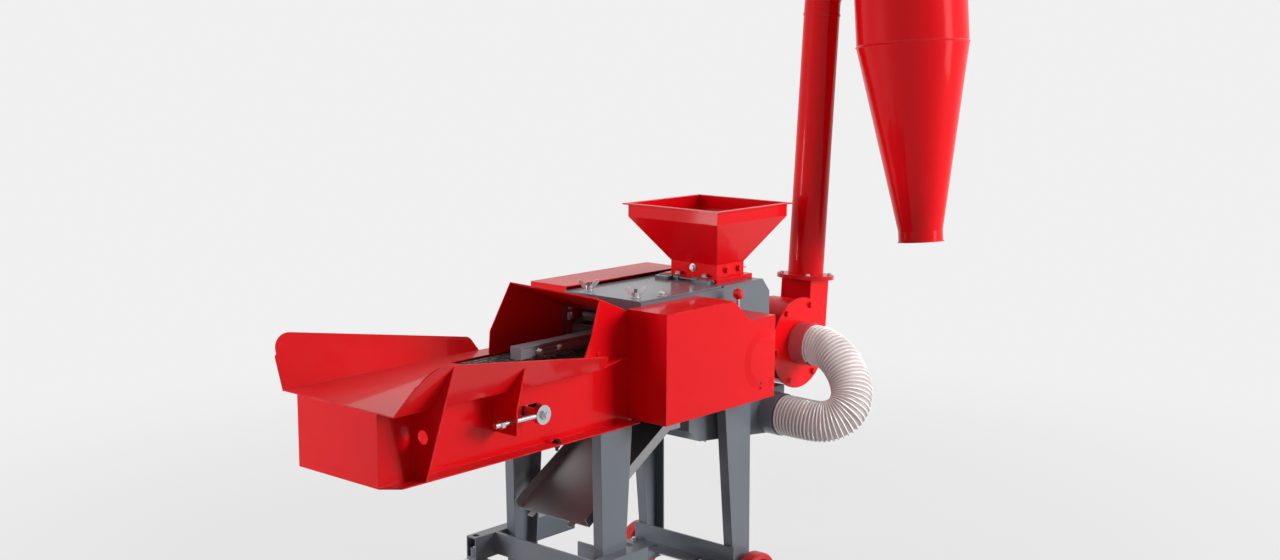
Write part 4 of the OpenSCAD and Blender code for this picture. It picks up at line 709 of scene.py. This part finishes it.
def addDome(bm, base, radius, low, high):
    steps = boltForm["domeSteps"]
    ring = [bm.verts.new((0, 0, low))]
    ring += [bm.verts.new((radius * math.cos(t), 0, low + (high - low) * math.sin(t)))
             for t in (math.pi / 2 * i / steps for i in range(steps + 1))]
    edges = [bm.edges.new(pair) for pair in zip(ring, ring[1:])]
    bmesh.ops.spin(bm, geom=ring + edges, cent=(0, 0, 0), axis=(0, 0, 1), angle=2 * math.pi,
                   steps=boltForm["domeSides"], use_merge=True)
    bmesh.ops.remove_doubles(bm, verts=[v for v in bm.verts if not v.tag], dist=mergeWithin)
    dome = [v for v in bm.verts if not v.tag]
    bmesh.ops.recalc_face_normals(bm, faces=list({f for v in dome for f in v.link_faces}))
    bmesh.ops.transform(bm, matrix=base, verts=dome)


def addBolt(bm, kind, place, normal):
    size = {name: value / perMetre for name, value in boltSizes[kind].items()}
    turn = Vector(normal).to_track_quat("Z", "Y").to_matrix().to_4x4()
    base = Matrix.Translation(onMachine(*place)) @ turn
    across, head = size["across"], size["head"]
    for v in bm.verts:
        v.tag = True    # the bolts made before this one
    if kind in ("pan", "rivet"):
        addDome(bm, base, across, 0, head)
        return
    under = size["washerThick"]
    nutTop = under + head
    if kind == "dome":
        addDome(bm, base, across * boltForm["domeWidth"], under + head * boltForm["domeFrom"], under + head)
        nutTop = under + head * boltForm["nutTo"]
    addDisc(bm, base, boltForm["hexSides"], across, under, nutTop, boltForm["headSoften"])
    addDisc(bm, base, boltForm["washerSides"], size["washer"], 0, under, boltForm["washerSoften"])
    if "stud" in size:
        addDisc(bm, base, boltForm["studSides"], across * boltForm["studWidth"],
                under + head * boltForm["studFrom"], under + head + size["stud"], boltForm["headSoften"])


def makeBolts(groups):
    for name, group in groups.items():
        bm = bmesh.new()
        for kind, place, normal in group["bolts"]:
            addBolt(bm, kind, place, normal)
        meshPiece(name, bm, finishes[group.get("finish", group["slot"])], group["body"])


makeBolts(boltGroups)
print("bolts placed")


# throat: the red sheet on the far wall behind the hood, with its two clips
throatSheet = {"body": "frame", "slot": "red_paint", "soften": 0.6,
               "plates": [((48, 110.5, 658), (165, 113, 754))]}
throatClips = {"body": "frame", "slot": "zinc_plate", "soften": 0.4,
               "plates": [((48, 108.3, 698), (63, 110.4, 716)), ((50, 103.0, 698), (52, 110.4, 716)),
                          ((84, 108.3, 662), (98, 110.4, 696)), ((86, 103.0, 664), (88, 110.4, 694))]}
# press beam: the near front plate and the slotted bar below the top sheet's lip
# the rails take the lightened slate paint, painted light like the beam
pressRails = {"body": "press", "slot": "slate_paint", "finish": "pressGreyPaintedLight", "soften": 0.5,
              "plates": [((-224.5, -15.8, 665), (-193, -10.2, 687)), ((-193, -14.4, 668), (8, -10.2, 672)),
                         ((-193, -14.4, 677), (8, -10.2, 681)), ((-193, -14.4, 672), (-181, -10.2, 677)),
                         ((-90, -14.4, 672), (8, -10.2, 677))]}


def makePlates(name, facts):
    bm = bmesh.new()
    for low, high in facts["plates"]:
        a, b = onMachine(*low), onMachine(*high)
        place = Matrix.Translation((a + b) / 2) @ Matrix.Diagonal((*(b - a), 1))
        made = bmesh.ops.create_cube(bm, size=1, matrix=place)
        softenEdges(bm, {e for v in made["verts"] for e in v.link_edges}, facts["soften"])
    meshPiece(name, bm, finishes[facts.get("finish", facts["slot"])], facts["body"])


makePlates("throatSheet", throatSheet)
makePlates("throatClips", throatClips)
makePlates("pressRails", pressRails)
print("throat lined and press rails made")


# clear cuff of the hose drawn over the fan's neck
hoseCuff = {"middle": (665, 583), "from": -144.8, "to": -106.0, "inside": 52.2, "outside": 53.6,
            "soften": 0.6, "sides": 72}


def makeHoseCuff(facts):
    # a closed profile in the plane x, y is spun about the neck's middle line
    inside, outside, soften = facts["inside"], facts["outside"], facts["soften"]
    near, far = facts["from"], facts["to"]
    profile = [(inside, near), (outside - soften, near), (outside, near + soften), (outside, far - soften),
               (outside - soften, far), (inside, far)]
    x, z = facts["middle"]
    bm = bmesh.new()
    ring = [bm.verts.new(onMachine(x + r, y, z)) for r, y in profile]
    edges = [bm.edges.new(pair) for pair in zip(ring, ring[1:] + ring[:1])]
    bmesh.ops.spin(bm, geom=ring + edges, cent=onMachine(x, 0, z), axis=(0, 1, 0), angle=2 * math.pi,
                   steps=facts["sides"], use_merge=True)
    bmesh.ops.remove_doubles(bm, verts=bm.verts, dist=mergeWithin)
    bmesh.ops.recalc_face_normals(bm, faces=bm.faces)
    meshPiece("hoseCuff", bm, finishes["cuffClear"], "frame")


makeHoseCuff(hoseCuff)


# hood: the rolled hem round its mouth
hoodHem = {"far": [(-192, 657), (-188, 705), (-126, 804.66)],
           "near": [(-89, 789.49), (-116, 705), (-142, 657)], "y": 115.75, "radius": 1.9, "roundness": 3}


def makeHoodHem(facts):
    route = [onMachine(x, facts["y"], z) for x, z in facts["far"]]
    route += [onMachine(x, -facts["y"], z) for x, z in facts["near"]]
    hem = curvePiece("hoodHem", route, facts["radius"] / perMetre, facts["roundness"],
                     finishes["red_paint"])
    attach(hem, "frame")


makeHoodHem(hoodHem)
print("hose cuff and hood hem made")
